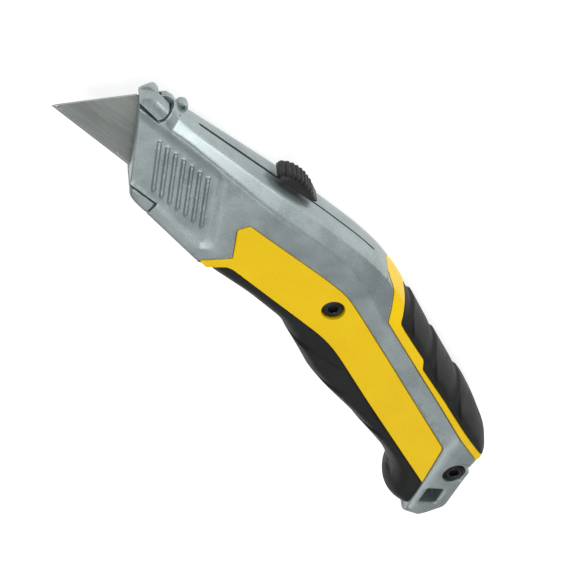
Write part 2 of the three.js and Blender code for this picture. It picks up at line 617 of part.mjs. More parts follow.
// Thumb button: a humped block with ribs across its crown and a slot for the tongue.
function thumbButton() {
  const base = TOP_Y + BUTTON_HOVER;
  const rear = BUTTON_FRONT_X + BUTTON_LENGTH;
  const crown = base + BUTTON_HEIGHT;
  const side = [[BUTTON_FRONT_X + 0.4, base], [rear, base], [rear - 0.6, base + 0.7],
    [rear - 3.6, crown - 1.3], [rear - 6.6, crown - 0.2], [BUTTON_FRONT_X + 5.2, crown],
    [BUTTON_FRONT_X + 2.2, crown - 0.6], [BUTTON_FRONT_X, base + 2]];
  let knob = plate(side, -BUTTON_HALF, BUTTON_HALF);
  for (let i = 1; i < BUTTON_RIBS; i += 1) {
    const x = BUTTON_FRONT_X + 1.2 + i * BUTTON_RIB_PITCH;
    const y = crown + 0.15 - Math.max(i - 3, 0) ** 2 * 0.1;
    knob = knob.subtract(bar(x, y, BUTTON_GROOVE_R, -BUTTON_HALF - 1, BUTTON_HALF + 1, 8));
  }
  knob = knob.subtract(bothSides((flank) => hull([BUTTON_FRONT_X - 1, rear + 1].flatMap((x) => [
    [x, crown - 2.4, flank * (BUTTON_HALF + 0.02)],
    [x, crown + 1, flank * (BUTTON_HALF - 1.6)],
    [x, crown + 1, flank * (BUTTON_HALF + 2)],
    [x, crown - 2.4, flank * (BUTTON_HALF + 2)],
  ]))));
  const tongueRear = TONGUE_FRONT_X + TONGUE_LENGTH;
  const pocketTop = base + 1.2 + PRESS + GAP;
  const pocket = block(TONGUE_FRONT_X - GAP, tongueRear + GAP, base - 1, pocketTop,
    -TONGUE_T + 0.05 - GAP, 0.05 + GAP);
  const tabPocket = block(TONGUE_FRONT_X + 1 - GAP, TONGUE_FRONT_X + 1 + TAB_LENGTH + GAP, base - 1,
    base + 1.4 + GAP, 0.05, 0.35 + TAB_T + GAP);
  const springPocket = block(TONGUE_FRONT_X + 1, tongueRear - 1, base - 1, base + 1.9, -2.4, -0.6);
  return knob.subtract(pocket).subtract(tabPocket).subtract(springPocket);
}

// Steel lock tab that the button pushes down through the slit.
function lockTab() {
  const front = TONGUE_FRONT_X + 1;
  const top = TOP_Y + BUTTON_HOVER + 1.4;
  const stem = block(front, front + TAB_LENGTH, CHANNEL_TOP - 2.5, top, 0.35, 0.35 + TAB_T);
  const tooth = block(front, front + 1.2, CHANNEL_TOP - 2.5, CHANNEL_TOP - 1.5, 0.4, 2.4);
  return stem.add(tooth);
}

// Leaf spring between the tongue and the button.
function buttonSpring() {
  const y = TOP_Y + 0.25;
  const leaf = [[TONGUE_FRONT_X + 1.4, y], [TONGUE_FRONT_X + 3.5, y + 1.1 - GAP],
    [TONGUE_FRONT_X + 5.6, y], [TONGUE_FRONT_X + 5.6, y + 0.3],
    [TONGUE_FRONT_X + 3.5, y + 1.4 - GAP], [TONGUE_FRONT_X + 1.4, y + 0.3]];
  return plate(leaf, -2.0, -TONGUE_T + 0.05 - 0.15);
}

// Toothed rail under the top wall that the lock tab runs along.
function detentRail() {
  const front = TONGUE_FRONT_X - 8;
  const rear = TONGUE_FRONT_X + TRAVEL + 5;
  let rail = block(front, rear, CHANNEL_TOP - 1.2, CHANNEL_TOP - GAP, SLIT_HALF + 0.1, CAVITY_HALF - GAP);
  for (let i = 0; i < 4; i += 1) {
    const x = TONGUE_FRONT_X + 1 + i * TRAVEL / 3;
    const notch = block(x - 0.3, x + 1.5, CHANNEL_TOP - 2, CHANNEL_TOP - 0.7, 0, CAVITY_HALF);
    rail = rail.subtract(notch);
  }
  return rail;
}

// ---------------------------------------------------------------- nose lever

function releaseLever() {
  const crown = TOP_Y + LEVER_RISE;
  const front = TOP_Y - LEVER_FRONT_DROP;
  const side = [[noseX(LEVER_FLOOR), LEVER_FLOOR], [LEVER_REAR_X, LEVER_FLOOR], [LEVER_REAR_X, TOP_Y + 0.1],
    [LEVER_REAR_X - 1.4, crown - 0.3], [LEVER_REAR_X - 3.0, crown], [LEVER_REAR_X - 4.4, crown - 0.3],
    [LEVER_REAR_X - 6.4, crown - 1.4], [noseX(front), front]];
  let cap = plate(side, -LEVER_HALF, LEVER_HALF);
  const section = [[LEVER_HALF - 3.2, crown], [LEVER_HALF - 1.1, TOP_Y - 0.4], [LEVER_HALF, LEVER_FLOOR + 1]];
  for (const flank of [1, -1]) {
    for (const [inner, outer] of [[section[0], section[1]], [section[1], section[2]]]) {
      const slope = (inner[1] - outer[1]) / (outer[0] - inner[0]);
      cap = cap.subtract(hull([NOSE_X - 3, LEVER_REAR_X + 2].flatMap((x) => [
        [x, inner[1] + slope, flank * (inner[0] - 1)],
        [x, outer[1] - slope, flank * (outer[0] + 1)],
        [x, crown + 5, flank * (outer[0] + 4)],
      ])));
    }
  }
  const arm = block(LEVER_REAR_X - 1, LEVER_PIN[0], LEVER_PIN[1] - 1.0, LEVER_PIN[1] + 0.9,
    -LEVER_LUG_HALF, LEVER_LUG_HALF);
  const lug = bar(LEVER_PIN[0], LEVER_PIN[1], LEVER_LUG_R, -LEVER_LUG_HALF, LEVER_LUG_HALF);
  const bore = bar(LEVER_PIN[0], LEVER_PIN[1], LEVER_PIN_R + GAP / 2, -5, 5);
  return cap.add(arm).add(lug).subtract(bore);
}

function leverPin() {
  return bar(LEVER_PIN[0], LEVER_PIN[1], LEVER_PIN_R, -4.2, 4.2);
}

// Leaf spring behind the lever lug that closes the lever again.
function leverSpring() {
  const [front, low] = leverSpringPlace();
  return block(front, front + LEVER_SPRING_LENGTH, low, low + LEVER_SPRING_T, -LEVER_SPRING_HALF, LEVER_SPRING_HALF);
}

function leverSpringPlace() {
  return [LEVER_PIN[0] + LEVER_LUG_R + GAP, LEVER_PIN[1] - LEVER_SPRING_T / 2];
}

// ---------------------------------------------------------------- spare blades

function spareBladeHolder() {
  const outer = storeBox(0, STORE_LENGTH, STORE_HEIGHT / 2, STORE_HALF);
  const inner = storeBox(STORE_WALL, STORE_LENGTH + 4, STORE_HEIGHT / 2 - STORE_WALL, STORE_HALF - STORE_WALL);
  return outer.subtract(inner);
}

function spareBlade(index) {
  const height = (index - (SPARE_COUNT - 1) / 2) * SPARE_PITCH;
  const front = STORE_WALL + STORE_CLEAR;
  const outline = bladeOutline().map(([a, u]) => onRear(front + a, u - BLADE_HEIGHT / 2));
  return plate(outline, height - BLADE_T / 2, height + BLADE_T / 2);
}

// ---------------------------------------------------------------- assembly

const group = new THREE.Group();
group.name = 'utility_knife';

const paint = (color, roughness, metalness) => new THREE.MeshStandardMaterial({ color, roughness, metalness });
const SILVER = paint(0xa2adae, 0.42, 0.55);
const YELLOW = paint(0xe2be03, 0.45, 0.0);
const RUBBER = paint(0x2d302f, 0.75, 0.0);
const BLADE_STEEL = paint(0x8a8f8c, 0.32, 0.95);
const SHEET_STEEL = paint(0x9a9fa2, 0.4, 0.9);
const BLACK_PLASTIC = paint(0x232320, 0.55, 0.0);
const BLACK_STEEL = paint(0x1c1d1e, 0.4, 0.8);

const add = (manifold, name, material) => group.add(meshOf(manifold, name, material));

const [leftShell, rightShell] = castingPair();
add(leftShell, 'left_shell', SILVER);
add(rightShell, 'right_shell', SILVER);
add(toePiece(), 'nose_toe_piece', SILVER);

for (const [name, side] of [['left', 1], ['right', -1]]) {
  add(sidePanel(side), `${name}_side_panel`, YELLOW);
  add(backTrim(side), `${name}_back_trim`, YELLOW);
  add(fingerGrip(side), `${name}_finger_grip`, RUBBER);
  add(backGrip(side), `${name}_back_grip`, RUBBER);
}

add(screw(MID_SCREW, HALF - PANEL_T), 'middle_screw', BLACK_STEEL);
add(screw(TAIL_SCREW, facetTop(TAIL_SCREW)), 'tail_screw', BLACK_STEEL);

add(blade(), 'blade', BLADE_STEEL);
add(bladeCarrier(), 'blade_carrier', SHEET_STEEL);
add(bladeClip(), 'blade_clip', SHEET_STEEL);
add(thumbButton(), 'thumb_button', BLACK_PLASTIC);
add(lockTab(), 'lock_tab', SHEET_STEEL);
add(buttonSpring(), 'button_spring', SHEET_STEEL);
add(detentRail(), 'detent_rail', BLACK_PLASTIC);
add(releaseLever(), 'release_lever', SILVER);
add(leverPin(), 'lever_pin', SHEET_STEEL);
add(leverSpring(), 'lever_spring', SHEET_STEEL);
add(spareBladeHolder(), 'spare_blade_holder', BLACK_PLASTIC);
for (let i = 0; i < SPARE_COUNT; i += 1) {
  add(spareBlade(i), `spare_blade_${i + 1}`, BLADE_STEEL);
}

export default group;
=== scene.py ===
# %% [markdown]
# # A retractable utility knife
#
# The real knife is a die-cast metal body in two halves, with yellow side panels, yellow
# trim along the back, black rubber where the hand holds it, a trapezoid blade on a
# sliding carriage, and a small lever at the nose that frees the blade. The machined
# model of all these solids is loaded first and stays where it is. Everything that
# shows is then made again here as finer surfaces in the same place.

# %% Load the frame
import json
import math

import bpy
import numpy as np
from mathutils import Matrix, Vector
from mathutils.geometry import delaunay_2d_cdt


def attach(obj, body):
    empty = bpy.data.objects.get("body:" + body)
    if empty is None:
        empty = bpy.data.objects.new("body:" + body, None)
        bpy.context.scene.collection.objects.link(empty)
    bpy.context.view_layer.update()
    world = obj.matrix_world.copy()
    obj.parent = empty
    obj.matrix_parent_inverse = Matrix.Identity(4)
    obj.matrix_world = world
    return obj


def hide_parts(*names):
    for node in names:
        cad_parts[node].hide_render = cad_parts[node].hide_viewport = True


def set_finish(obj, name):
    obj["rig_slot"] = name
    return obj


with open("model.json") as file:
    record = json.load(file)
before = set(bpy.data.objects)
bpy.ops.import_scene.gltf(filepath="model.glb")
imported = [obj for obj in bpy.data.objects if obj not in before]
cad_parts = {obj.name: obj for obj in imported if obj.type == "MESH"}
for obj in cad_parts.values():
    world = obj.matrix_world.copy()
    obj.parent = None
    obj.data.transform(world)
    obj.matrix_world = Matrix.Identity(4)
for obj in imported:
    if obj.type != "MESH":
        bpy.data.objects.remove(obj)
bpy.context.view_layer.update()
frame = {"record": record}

# %% [markdown]
# ## Camera
#
# Blender cameras look along their own -Z. The knife is seen from above its left flank
# with the thumb side up, so the camera is given its right, up and back directions
# outright rather than by angles. A long lens keeps the perspective mild.

# %% Camera
CAMERA_RIGHT = Vector((0.72043261, 0.68897002, 0.07935473))
CAMERA_UP = Vector((-0.48222306, 0.57987765, -0.65666036))
CAMERA_BACK = Vector((-0.49843533, 0.43481285, 0.75))
AIM = Vector((-0.0023136, -0.0008184, 0.0203))
DISTANCE = 1.2



def placed(name, data):
    """A new object in the scene."""
    obj = bpy.data.objects.new(name, data)
    bpy.context.scene.collection.objects.link(obj)
    return obj


camera = placed("camera", bpy.data.cameras.new("camera"))
camera.matrix_world = Matrix.Translation(AIM + CAMERA_BACK * DISTANCE) @ Matrix(
    (CAMERA_RIGHT, CAMERA_UP, CAMERA_BACK)).transposed().to_4x4()
camera.data.sensor_width = 36
camera.data.lens = 261.4
camera.data.clip_start = 0.05
camera.data.clip_end = 20
bpy.context.scene.camera = camera
print("camera at", [round(c, 4) for c in camera.matrix_world.translation])

# %% [markdown]
# ## Paths
#
# The body is thin and flat, so its outlines are drawn in the plane of the flank, in
# millimetres, as lists of corners. Real castings and mouldings have no sharp corners
# in plan, so each corner carries a radius and is replaced by a short curve. Everything
# works on whole arrays, which is fast and keeps each formula in one line.

# %% Path helpers
MID = 10.8        # height of the parting plane above the rest plane, mm


def size_of(vectors):
    """Length of each vector, kept as a column."""
    return np.linalg.norm(vectors, axis=-1, keepdims=True)


def softened(corners, radius=0.6, steps=6):
    """A corner (x, y, radius) becomes a quadratic curve between points one radius to each side."""
    table = np.array([(*c, radius)[:3] for c in corners], float)
    point, size = table[:, :2], table[:, 2:]
    before, after = np.roll(point, 1, 0) - point, np.roll(point, -1, 0) - point
    near = [point + v * np.minimum(size / size_of(v), 0.45) for v in (before, after)]
    t = np.linspace(0, 1, steps)[None, :, None]
    curve = (1 - t) ** 2 * near[0][:, None] + 2 * t * (1 - t) * point[:, None] + t ** 2 * near[1][:, None]
    return curve.reshape(-1, 2)


def even(path, step, closed=True):
    """Each straight run of the path is cut into equal parts no longer than step."""
    start = path if closed else path[:-1]
    run = np.roll(path, -1, 0) - path if closed else path[1:] - path[:-1]
    count = np.maximum(1, np.ceil(np.linalg.norm(run, axis=1) / step)).astype(int)
    which = np.repeat(np.arange(len(start)), count)
    part = (np.arange(len(which)) - np.repeat(np.cumsum(count) - count, count)) / count[which]
    points = start[which] + run[which] * part[:, None]
    return points if closed else np.vstack([points, path[-1:]])


def outline(corners):
    """A softened path, cut finely enough for the edge of a plan."""
    return even(softened(corners), 0.9)


def pushed(path, distance):
    """Each side of the path moves outwards by the distance, or inwards if it is negative."""
    before, after = path - np.roll(path, 1, 0), np.roll(path, -1, 0) - path
    before /= size_of(before)
    after /= size_of(after)
    bend = np.maximum(1 + (before * after).sum(1), 0.35)[:, None]
    x, y = path.T
    turn = 1 if (x * np.roll(y, -1) - np.roll(x, -1) * y).sum() > 0 else -1
    both = before + after
    return path + turn * distance * np.stack([both[:, 1], -both[:, 0]], 1) / bend


def gap_to(points, path, closed=True):
    """Distance from each point to the nearest place on the path."""
    a = path if closed else path[:-1]
    run = (np.roll(path, -1, 0) if closed else path[1:]) - a
    square = np.maximum((run ** 2).sum(1), 1e-12)
    found = []
    for some in np.array_split(points, max(1, len(points) // 4000)):
        away = some[:, None] - a[None]
        t = np.clip((away * run).sum(2) / square, 0, 1)
        found.append(np.sqrt(((away - t[..., None] * run) ** 2).sum(2).min(1)))
    return np.concatenate(found)


def inside(points, path):
    """Counts how often a line to the right of each point crosses the path: odd means inside."""
    a, b = path, np.roll(path, -1, 0)
    odd = []
    for some in np.array_split(points, max(1, len(points) // 4000)):
        x, y = some[:, :1], some[:, 1:]
        spans = (a[:, 1] > y) != (b[:, 1] > y)
        rise = np.where(b[:, 1] == a[:, 1], 1, b[:, 1] - a[:, 1])
        cross = a[:, 0] + (y - a[:, 1]) / rise * (b[:, 0] - a[:, 0])
        odd.append((spans & (cross > x)).sum(1) % 2 == 1)
    return np.concatenate(odd)


def to_right(run):
    """A direction turned a quarter to its right."""
    return np.array((run[1], -run[0]))


def ramp(value, low, high):
    """0 below low, 1 above high, and a smooth S between them."""
    t = np.clip((value - low) / (high - low), 0, 1)
    return t * t * (3 - 2 * t)


def soft_min(a, b, width):
    """The lower of two heights, with the crease between them rounded over the width."""
    h = np.clip(0.5 + 0.5 * (b - a) / width, 0, 1)
    return b * (1 - h) + a * h - width * h * (1 - h)


def rounded(gap, radius):
    """How far a quarter-round edge of that radius has fallen, at a gap from the edge."""
    left = np.clip(radius - gap, 0, radius)
    return radius - np.sqrt(radius ** 2 - left ** 2)


# %% [markdown]
# ## Outlines
#
# One silhouette serves the whole body, and each skin is a region drawn across it: the
# side panel, the trim strip, the rubber on the back and the rubber under the fingers.
# Neighbours share a line, so the seams between them run together exactly.

# %% Outlines of the body and its skins
TOP_Y = 21.8      # level of the top face that the thumb button runs over
NOSE_X = -80.0    # front of the nose at the top face
NOSE_LEAN = 0.728  # the nose front slants back by this much per mm going down
HALF = 10.8       # half thickness of the handle


def nose_x(y):
    """Where the slanted nose front stands at a height."""
    return NOSE_X + (TOP_Y - y) * NOSE_LEAN


BODY = outline([
    (NOSE_X, TOP_Y, 0.3), (nose_x(-3.7), -3.7, 1.2), (-59.6, -5.8, 1), (-57, -6.6, 1), (-51.9, -7.2, 1),
    (-29.5, -9.9, 1), (-27.5, -11.2, 0.8), (-23.5, -12.1, 1.5), (-9.3, -12.0, 4), (5, -13.2, 3),
    (9.5, -15.2, 2), (17.2, -18.4, 3), (23.5, -21.3, 1), (32.4, -23.6, 3), (44.0, -25.6, 1.2),
    (55.7, -28.4, 3), (63, -30.3, 2), (69.0, -33.1, 2), (72.4, -36.6, 1.2), (74.0, -39.6, 2),
    (76.6, -42.1, 2), (80.2, -43.0, 2), (84.2, -42.7, 1.2), (89.8, -41.5, 1.0), (94.9, -35.4, 0.8),
    (94.9, -33.6, 1.0), (92.5, -25.3, 3), (91.0, -19.5, 3), (90.4, -15.4, 0.8), (90.3, -12.4, 1.5),
    (85.4, -7.7, 2.5), (75.4, -2.2, 3), (68.5, 1.0, 1.5), (65.6, 1.9, 0.6), (64.4, 1.6, 0.2),
    (61.2, 3.3, 1.5), (50.6, 7.6, 1), (49.8, 8.0, 0.5), (48.4, 7.6, 0.2), (44.9, 9.7, 1.5), (35, 14, 1),
    (34.2, 14.3, 0.5), (33, 13.9, 0.2), (29.4, 15.6, 1), (25.3, 17.0, 2), (19, 18.9, 2), (14, 20.1, 3),
    (5, 21.2, 4), (-10, TOP_Y, 3), (-65.3, TOP_Y, 0.8),
    (-67.4, 22.9, 1.2), (-69.4, 23.5, 1.2), (-71.4, 23.4, 0.9), (-72.4, 22.3, 0.4)])

# The seam between the panel and the finger rubber, from front to rear.
LOWER_SEAM = [(-27.2, -9.4, 0.3), (-22.7, -5.5, 0.8), (-20.8, -5.1, 1.0), (15.5, -7.1, 3),
              (21.2, -8.2, 3), (27.2, -10.2, 4), (34.8, -13.2, 5), (45.8, -17.4, 5)]
PANEL = outline([
    (-30.3, -8.9, 0.3), (-23.7, -2.1, 0.5), (-29.6, 6.3, 0.6), (-27.8, 9.7, 0.6), (2.4, 9.2, 5),
    (11.2, 8.5, 3), (18.9, 5.8, 4), (74.9, -16.2, 1.2), (79.9, -29.9, 0.4), *LOWER_SEAM[::-1]])

TRIM_OUTER = [(97, -16.4, 0.3), (86.3, -12.2, 3), (73.3, -7.0, 4), (60.5, -2.2, 4), (48.3, 2.1, 0.6),
              (46.4, 4.5, 0.6), (31.4, 10.2, 0.8), (30.2, 12.8, 1.5), (28.6, 15.2, 1.5), (27.2, 17.6, 0.5)]
TRIM = outline([
    (17.2, 30, 0.2), (17.2, 19.6, 0.3), (22.3, 17.2, 1.5), (25.1, 13.4, 2), (27.6, 8.8, 0.6),
    (48.4, 0.7, 5), (66, -6.1, 4), (97, -18.7, 0.3), *TRIM_OUTER, (27.2, 30, 0.2)])
BACK_GRIP = outline([*TRIM_OUTER[::-1], (100, -17.6, 0.2), (100, 30, 0.2), (27.2, 30, 0.2)])
FINGER_GRIP = outline([
    (-29.6, -9.4, 0.2), *LOWER_SEAM, (79.9, -29.9, 0.3), (80.6, -31.8, 0.5), (82.6, -38.4, 1),
    (84.0, -41.6, 0.4), (84.6, -60, 0.2), (-29.6, -60, 0.2)])

# The room cut out for the lever, longer in the left half than in the right, and for the toe.
LEVER_GAP = even(np.array([
    (-92, 19.0), (-70.5, 18.05), (-69.7, 19.9), (-68.9, 21.6), (-68.8, 30), (-92, 30)]), 0.9)
RIGHT_LEVER_GAP = even(np.array([(-92, 19.0), (-73.2, 18.2), (-72.6, 20.5), (-72.3, 30), (-92, 30)]), 0.9)
TOE_GAP = even(np.array([(-66, -2.6), (-52.0, -2.6), (-52.1, -12), (-66, -12)]), 0.9)
TOE = even(np.array([(-66, -3.1), (-52.5, -3.1), (-52.6, -12), (-66, -12)]), 0.9)

# The metal core under the skins: the silhouette, moved in under the rubber.
CORE = even(np.array([
    (-90, 30), (-90, -12), (-60, -12), (-31, -12), (-29.6, -7.6), (-9, -8.6), (5, -9.8), (17, -14.4),
    (24, -17.6), (45, -22), (56, -25), (64, -27.5), (72, -31), (78, -37.4), (83.2, -38.6), (84.5, -41.2),
    (85.0, -60), (100, -60), (100, -15.6), (88, -15.0), (84, -11), (74, -5.4), (62, -1), (48, 4), (34, 10),
    (27, 13), (18.3, 16), (18.3, 30)]), 1.5)
print("silhouette:", np.round(BODY.min(0), 1), "to", np.round(BODY.max(0), 1), "mm,", len(BODY), "points")

# %% [markdown]
# ## Heights
#
# A casting or moulding that comes out of a two-part mould can be described by one
# height over each point of its plan. So each outer surface here is a function of x and
# y: a flat flank, lowered by a crown and a chamfer along the top, by a taper at the
# nose, by a facet at the tail, and by rounded edges. The lowest of them wins, with the
# crease softened as metal and plastic flow it.

# %% Heights of the casting
TOP_LINE = np.array([
    (-95, 21.8), (-72.8, 21.8), (-71.4, 23.4), (-69.4, 23.5), (-67.4, 22.9), (-65.3, 21.8), (-10, 21.8),
    (5, 21.2), (14, 20.1), (19, 18.9), (25.3, 17.0), (29.4, 15.6), (40, 11.5)])
# Behind the button the top bends down. Each pass moves a point halfway to the middle of its neighbours.
TOP_BEND = even(TOP_LINE[6:], 1.0, closed=False)
for _ in range(12):
    TOP_BEND[1:-1] = 0.25 * TOP_BEND[:-2] + 0.5 * TOP_BEND[1:-1] + 0.25 * TOP_BEND[2:]
TOP_LINE = np.vstack([TOP_LINE[:6], TOP_BEND])
RIDGE_LOW, RIDGE_HIGH = np.array((85.0, -40.0)), np.array((77.1, -14.5))
RIDGE_RUN = (RIDGE_HIGH - RIDGE_LOW) / np.linalg.norm(RIDGE_HIGH - RIDGE_LOW)
FACET_SLOPE = 3.9 / 12
MIDDLE_SCREW, TAIL_SCREW = np.array((12.0, 2.0)), np.array((86.2, -22.5))
CROWN_DROP, CROWN_LEVEL = 0.7, 0.42  # fall of the crown, and the level share of its width
BACK_REACH = 6.2                     # the back is round over this distance from the silhouette
TAPER_X, TAPER_SOFT, NOSE_HALF = -26, 3, 5.6
PAD_SINK = 0.55
PAD_BORDER = np.array([
    (-54.4, 30), (-44.7, 17.0), (-36.6, 6.2), (-30.6, -2.7), (-33.0, -5.9), (-58, -3.2), (-95, 0)])


def chamfer_at(x):
    """Half width of the crowned top, and how fast the chamfer below it opens."""
    flat = np.interp(x, (-80, -68, -60, -26), (3.2, 3.3, 4.8, 6.9))
    drop = np.interp(x, (-80, -68, -60, -26, 5, 27.6), (3.3, 3.3, 2.9, 4.4, 4.4, 7.9))
    side = np.interp(x, (-80, -26), (5.8, 10.8))
    return flat, (side - flat) / (drop - CROWN_DROP)


def crown_and_chamfer(points):
    """Half width at a depth below the top line: it opens as a square root for the crown, then straight."""
    x, depth = points[:, 0], gap_to(points, TOP_LINE, closed=False)
    flat, run = chamfer_at(x)
    level = flat * CROWN_LEVEL
    crown = level + (flat - level) * np.sqrt(np.clip(depth / CROWN_DROP, 0, 1))
    return np.where(depth < CROWN_DROP, crown, flat + (depth - CROWN_DROP) * run)


def round_back(points, reach=BACK_REACH):
    """A quarter ellipse: zero at the silhouette, full thickness at the reach inside it."""
    depth = np.clip(gap_to(points, BODY) / reach, 0, 1)
    return HALF * np.sqrt(1 - (1 - depth) ** 2)


def flank(points):
    """Flat, then narrowing ahead of the taper line along a hyperbola, and sunk over the nose pad."""
    ahead = TAPER_X - points[:, 0]
    taper = (ahead + np.sqrt(ahead ** 2 + TAPER_SOFT ** 2)) / 2 * (HALF - NOSE_HALF) / (TAPER_X - NOSE_X)
    pad = inside(points, np.vstack([PAD_BORDER, [(-95, 30)]]))
    sunk = ramp(gap_to(points, PAD_BORDER, closed=False), 0, 1.7) * ramp(TOP_Y - points[:, 1], 3.4, 6.4)
    return HALF - taper - PAD_SINK * pad * sunk


def facet(points):
    """The plane at the tail, falling away from its ridge in proportion to the distance."""
    away = (points - RIDGE_LOW) @ to_right(RIDGE_RUN)
    return HALF - away * FACET_SLOPE


def hull(points):
    """The shape of casting and trim: the lowest of flank, top edge or round back, and tail facet."""
    back = ramp(points[:, 0], 23, 36)
    upper = (1 - back) * crown_and_chamfer(points) + back * round_back(points)
    lower_half = points[:, 1] < np.interp(points[:, 0], (5, 95), (10, -22))
    upper = np.where(lower_half, 99.0, upper)
    body = soft_min(flank(points), upper, 0.7)
    return soft_min(body, facet(points), 0.8)


# %% [markdown]
# ## From heights to a closed solid
#
# A plan of outlines and scattered points is joined into triangles by Blender's own
# Delaunay function, which keeps every outline as an edge. Points are set in rows close
# to each edge, where the surface bends, and farther apart on the flats. The same plan is
# used twice, once at the outer height and once at the inner height, and walls join the
# two round every open edge, so each piece is one closed shell. A piece of the right side
# is made as if it were a left one and then turned over.

# %% Plans and solids
SAME_POINT, CLEAR_OF_LOOP, MERGE = 0.035, 0.03, 1e-6  # mm
LEAST_WALL = 0.02
RIM = np.array((0.05, 0.13, 0.25, 0.4, 0.65, 1.0))
ROUND = BACK_REACH * (1 - np.cos(np.radians((6, 12, 19, 26, 34, 42, 51, 60, 70, 80))))


def rows_along(path, gaps, closed=True):
    """Rows of points beside the path, at each gap to its left and its right."""
    run = np.roll(path, -1, 0) - np.roll(path, 1, 0) if closed else np.gradient(path, axis=0)
    length = np.maximum(size_of(run), 1e-9)
    out = np.stack([run[:, 1], -run[:, 0]], 1) / length
    gaps = np.concatenate([gaps, -np.asarray(gaps)])
    rows = path[None] + gaps[:, None, None] * out[None]
    room = gap_to(rows.reshape(-1, 2), path, closed).reshape(rows.shape[:2])
    return rows[room > 0.8 * np.abs(gaps)[:, None]]


def honeycomb(path, pitch):
    """Points on a grid with every second row shifted by half a pitch, over the box of a path."""
    (x0, y0), (x1, y1) = path.min(0), path.max(0)
    y = np.arange(y0, y1, pitch * 0.866)
    x = np.arange(x0, x1, pitch)
    grid = np.stack(np.meshgrid(x, y), -1)
    grid[1::2, :, 0] += pitch / 2
    return grid.reshape(-1, 2)


def plan(loops, keep, cloud, pitch=1.6):
    """Triangles between closed loops and scattered points; keep says which middles belong."""
    cloud = np.vstack([*cloud, honeycomb(np.vstack(loops[:1]), pitch)])
    cloud = cloud[keep(cloud)]
    cell = np.round(cloud / SAME_POINT).astype(int)
    cloud = cloud[np.sort(np.unique(cell, axis=0, return_index=True)[1])]
    free = np.min([gap_to(cloud, loop) for loop in loops], axis=0)
    cloud = cloud[free > CLEAR_OF_LOOP]
    first = np.cumsum([0] + [len(loop) for loop in loops])
    edges = np.vstack([np.stack([np.arange(n), np.roll(np.arange(n), -1)], 1) + start
                       for n, start in zip(map(len, loops), first)])
    points = np.vstack([*loops, cloud])
    made = delaunay_2d_cdt([Vector(p) for p in points.tolist()], edges.tolist(), [], 0, MERGE, False)
    xy = np.array([p[:] for p in made[0]])
    triangle = np.array(made[2])
    a, b, c = (xy[triangle[:, i]] for i in range(3))
    area = (b[:, 0] - a[:, 0]) * (c[:, 1] - a[:, 1]) - (b[:, 1] - a[:, 1]) * (c[:, 0] - a[:, 0])
    triangle[area < 0] = triangle[area < 0][:, ::-1]
    triangle = triangle[keep((a + b + c) / 3)]
    used, flat = np.unique(triangle, return_inverse=True)
    return xy[used], flat.reshape(-1, 3)


def solid_of(shape, outer, inner):
    """Corners and faces of the closed solid between two heights over a plan."""
    xy, triangle = shape
    count = len(xy)
    inner = np.minimum(inner, outer - LEAST_WALL)
    corners = np.vstack([np.column_stack([xy, outer]), np.column_stack([xy, inner])])
    side = np.vstack([triangle[:, [0, 1]], triangle[:, [1, 2]], triangle[:, [2, 0]]])
    code = side[:, 0].astype(np.int64) * count + side[:, 1]
    open_side = side[~np.isin(code, side[:, 1].astype(np.int64) * count + side[:, 0])]
    a, b = open_side.T
    wall = np.vstack([np.column_stack([a + count, b + count, b]), np.column_stack([a + count, b, a])])
    return corners, np.vstack([triangle, triangle[:, ::-1] + count, wall])


def piece(name, corners, faces, body, slot_name, replaced=(), mirror=False, crease=35):
    """Puts corners, in mm from the parting plane, and faces into a mesh object that rides on a body."""
    corners = np.array(corners, float)
    corners[:, 2] = MID + (-1 if mirror else 1) * corners[:, 2]
    faces = faces if isinstance(faces, list) else faces.tolist()
    if mirror:
        faces = [face[::-1] for face in faces]
    mesh = bpy.data.meshes.new(name)
    mesh.from_pydata((corners * 0.001).tolist(), [], faces)
    mesh.polygons.foreach_set("use_smooth", np.ones(len(mesh.polygons), bool))
    mesh.set_sharp_from_angle(angle=math.radians(crease))
    obj = placed(name, mesh)
    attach(obj, body)
    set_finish(obj, slot_name)
    if replaced:
        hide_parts(*replaced)
    print(f"{name}: {len(corners)} corners, {len(faces)} faces")
    return obj


# %% [markdown]
# ## The castings
#
# Each half is a zinc casting, blasted and lacquered silver. Its features are all worked
# into the height: seven finger ribs on the nose, pockets for the skins, and the slot for
# a lanyard. The left half also has a recess for each screw head, and the right half has
# the nose corner bevelled and less room cut out for the lever. Inside, both are hollow
# for the blade carriage and the spare blades, and open at the nose and along the slit
# in the top, where the stem of the thumb button runs.

# %% Casting features
SLIT_FRONT, SLIT_REAR, SLIT_STEP = -58.0, 11.8, -29  # ends, and where the slit narrows behind the button
SLIT_HALF, REAR_SLIT_HALF, CLOSED_HALF = 0.58, 0.4, 0.03
RIB_FIRST, RIB_PITCH, RIB_LENGTH, RIB_HEIGHT = np.array((-65.7, 13.5)), 3.03, 17.3, 0.64
RIB_RUN = np.array((0.5885, -0.8085))
RIB_SIDE = to_right(RIB_RUN)
RIB_TOPS = RIB_FIRST + np.arange(7)[:, None] * np.array((RIB_PITCH, 0))
SEAM = 0.15        # gap between a skin and the casting round it
UNDER = 0.5        # the casting lies this much lower beneath a skin


def rib_places(points):
    """For every point and rib: distance across the rib and distance along it from its upper end."""
    away = points[:, None] - RIB_TOPS[None]
    return away @ RIB_SIDE, away @ RIB_RUN


def ribs(points):
    """Height of the ribs: an S-shaped fall on each side of a rib, times one at each of its ends."""
    across, along = rib_places(points)
    body = 1 - ramp(np.abs(across), 0.22, 0.72)
    ends = ramp(along, -0.75, 0.35) * (1 - ramp(along, RIB_LENGTH - 1.2, RIB_LENGTH))
    return RIB_HEIGHT * (body * ends).max(1)


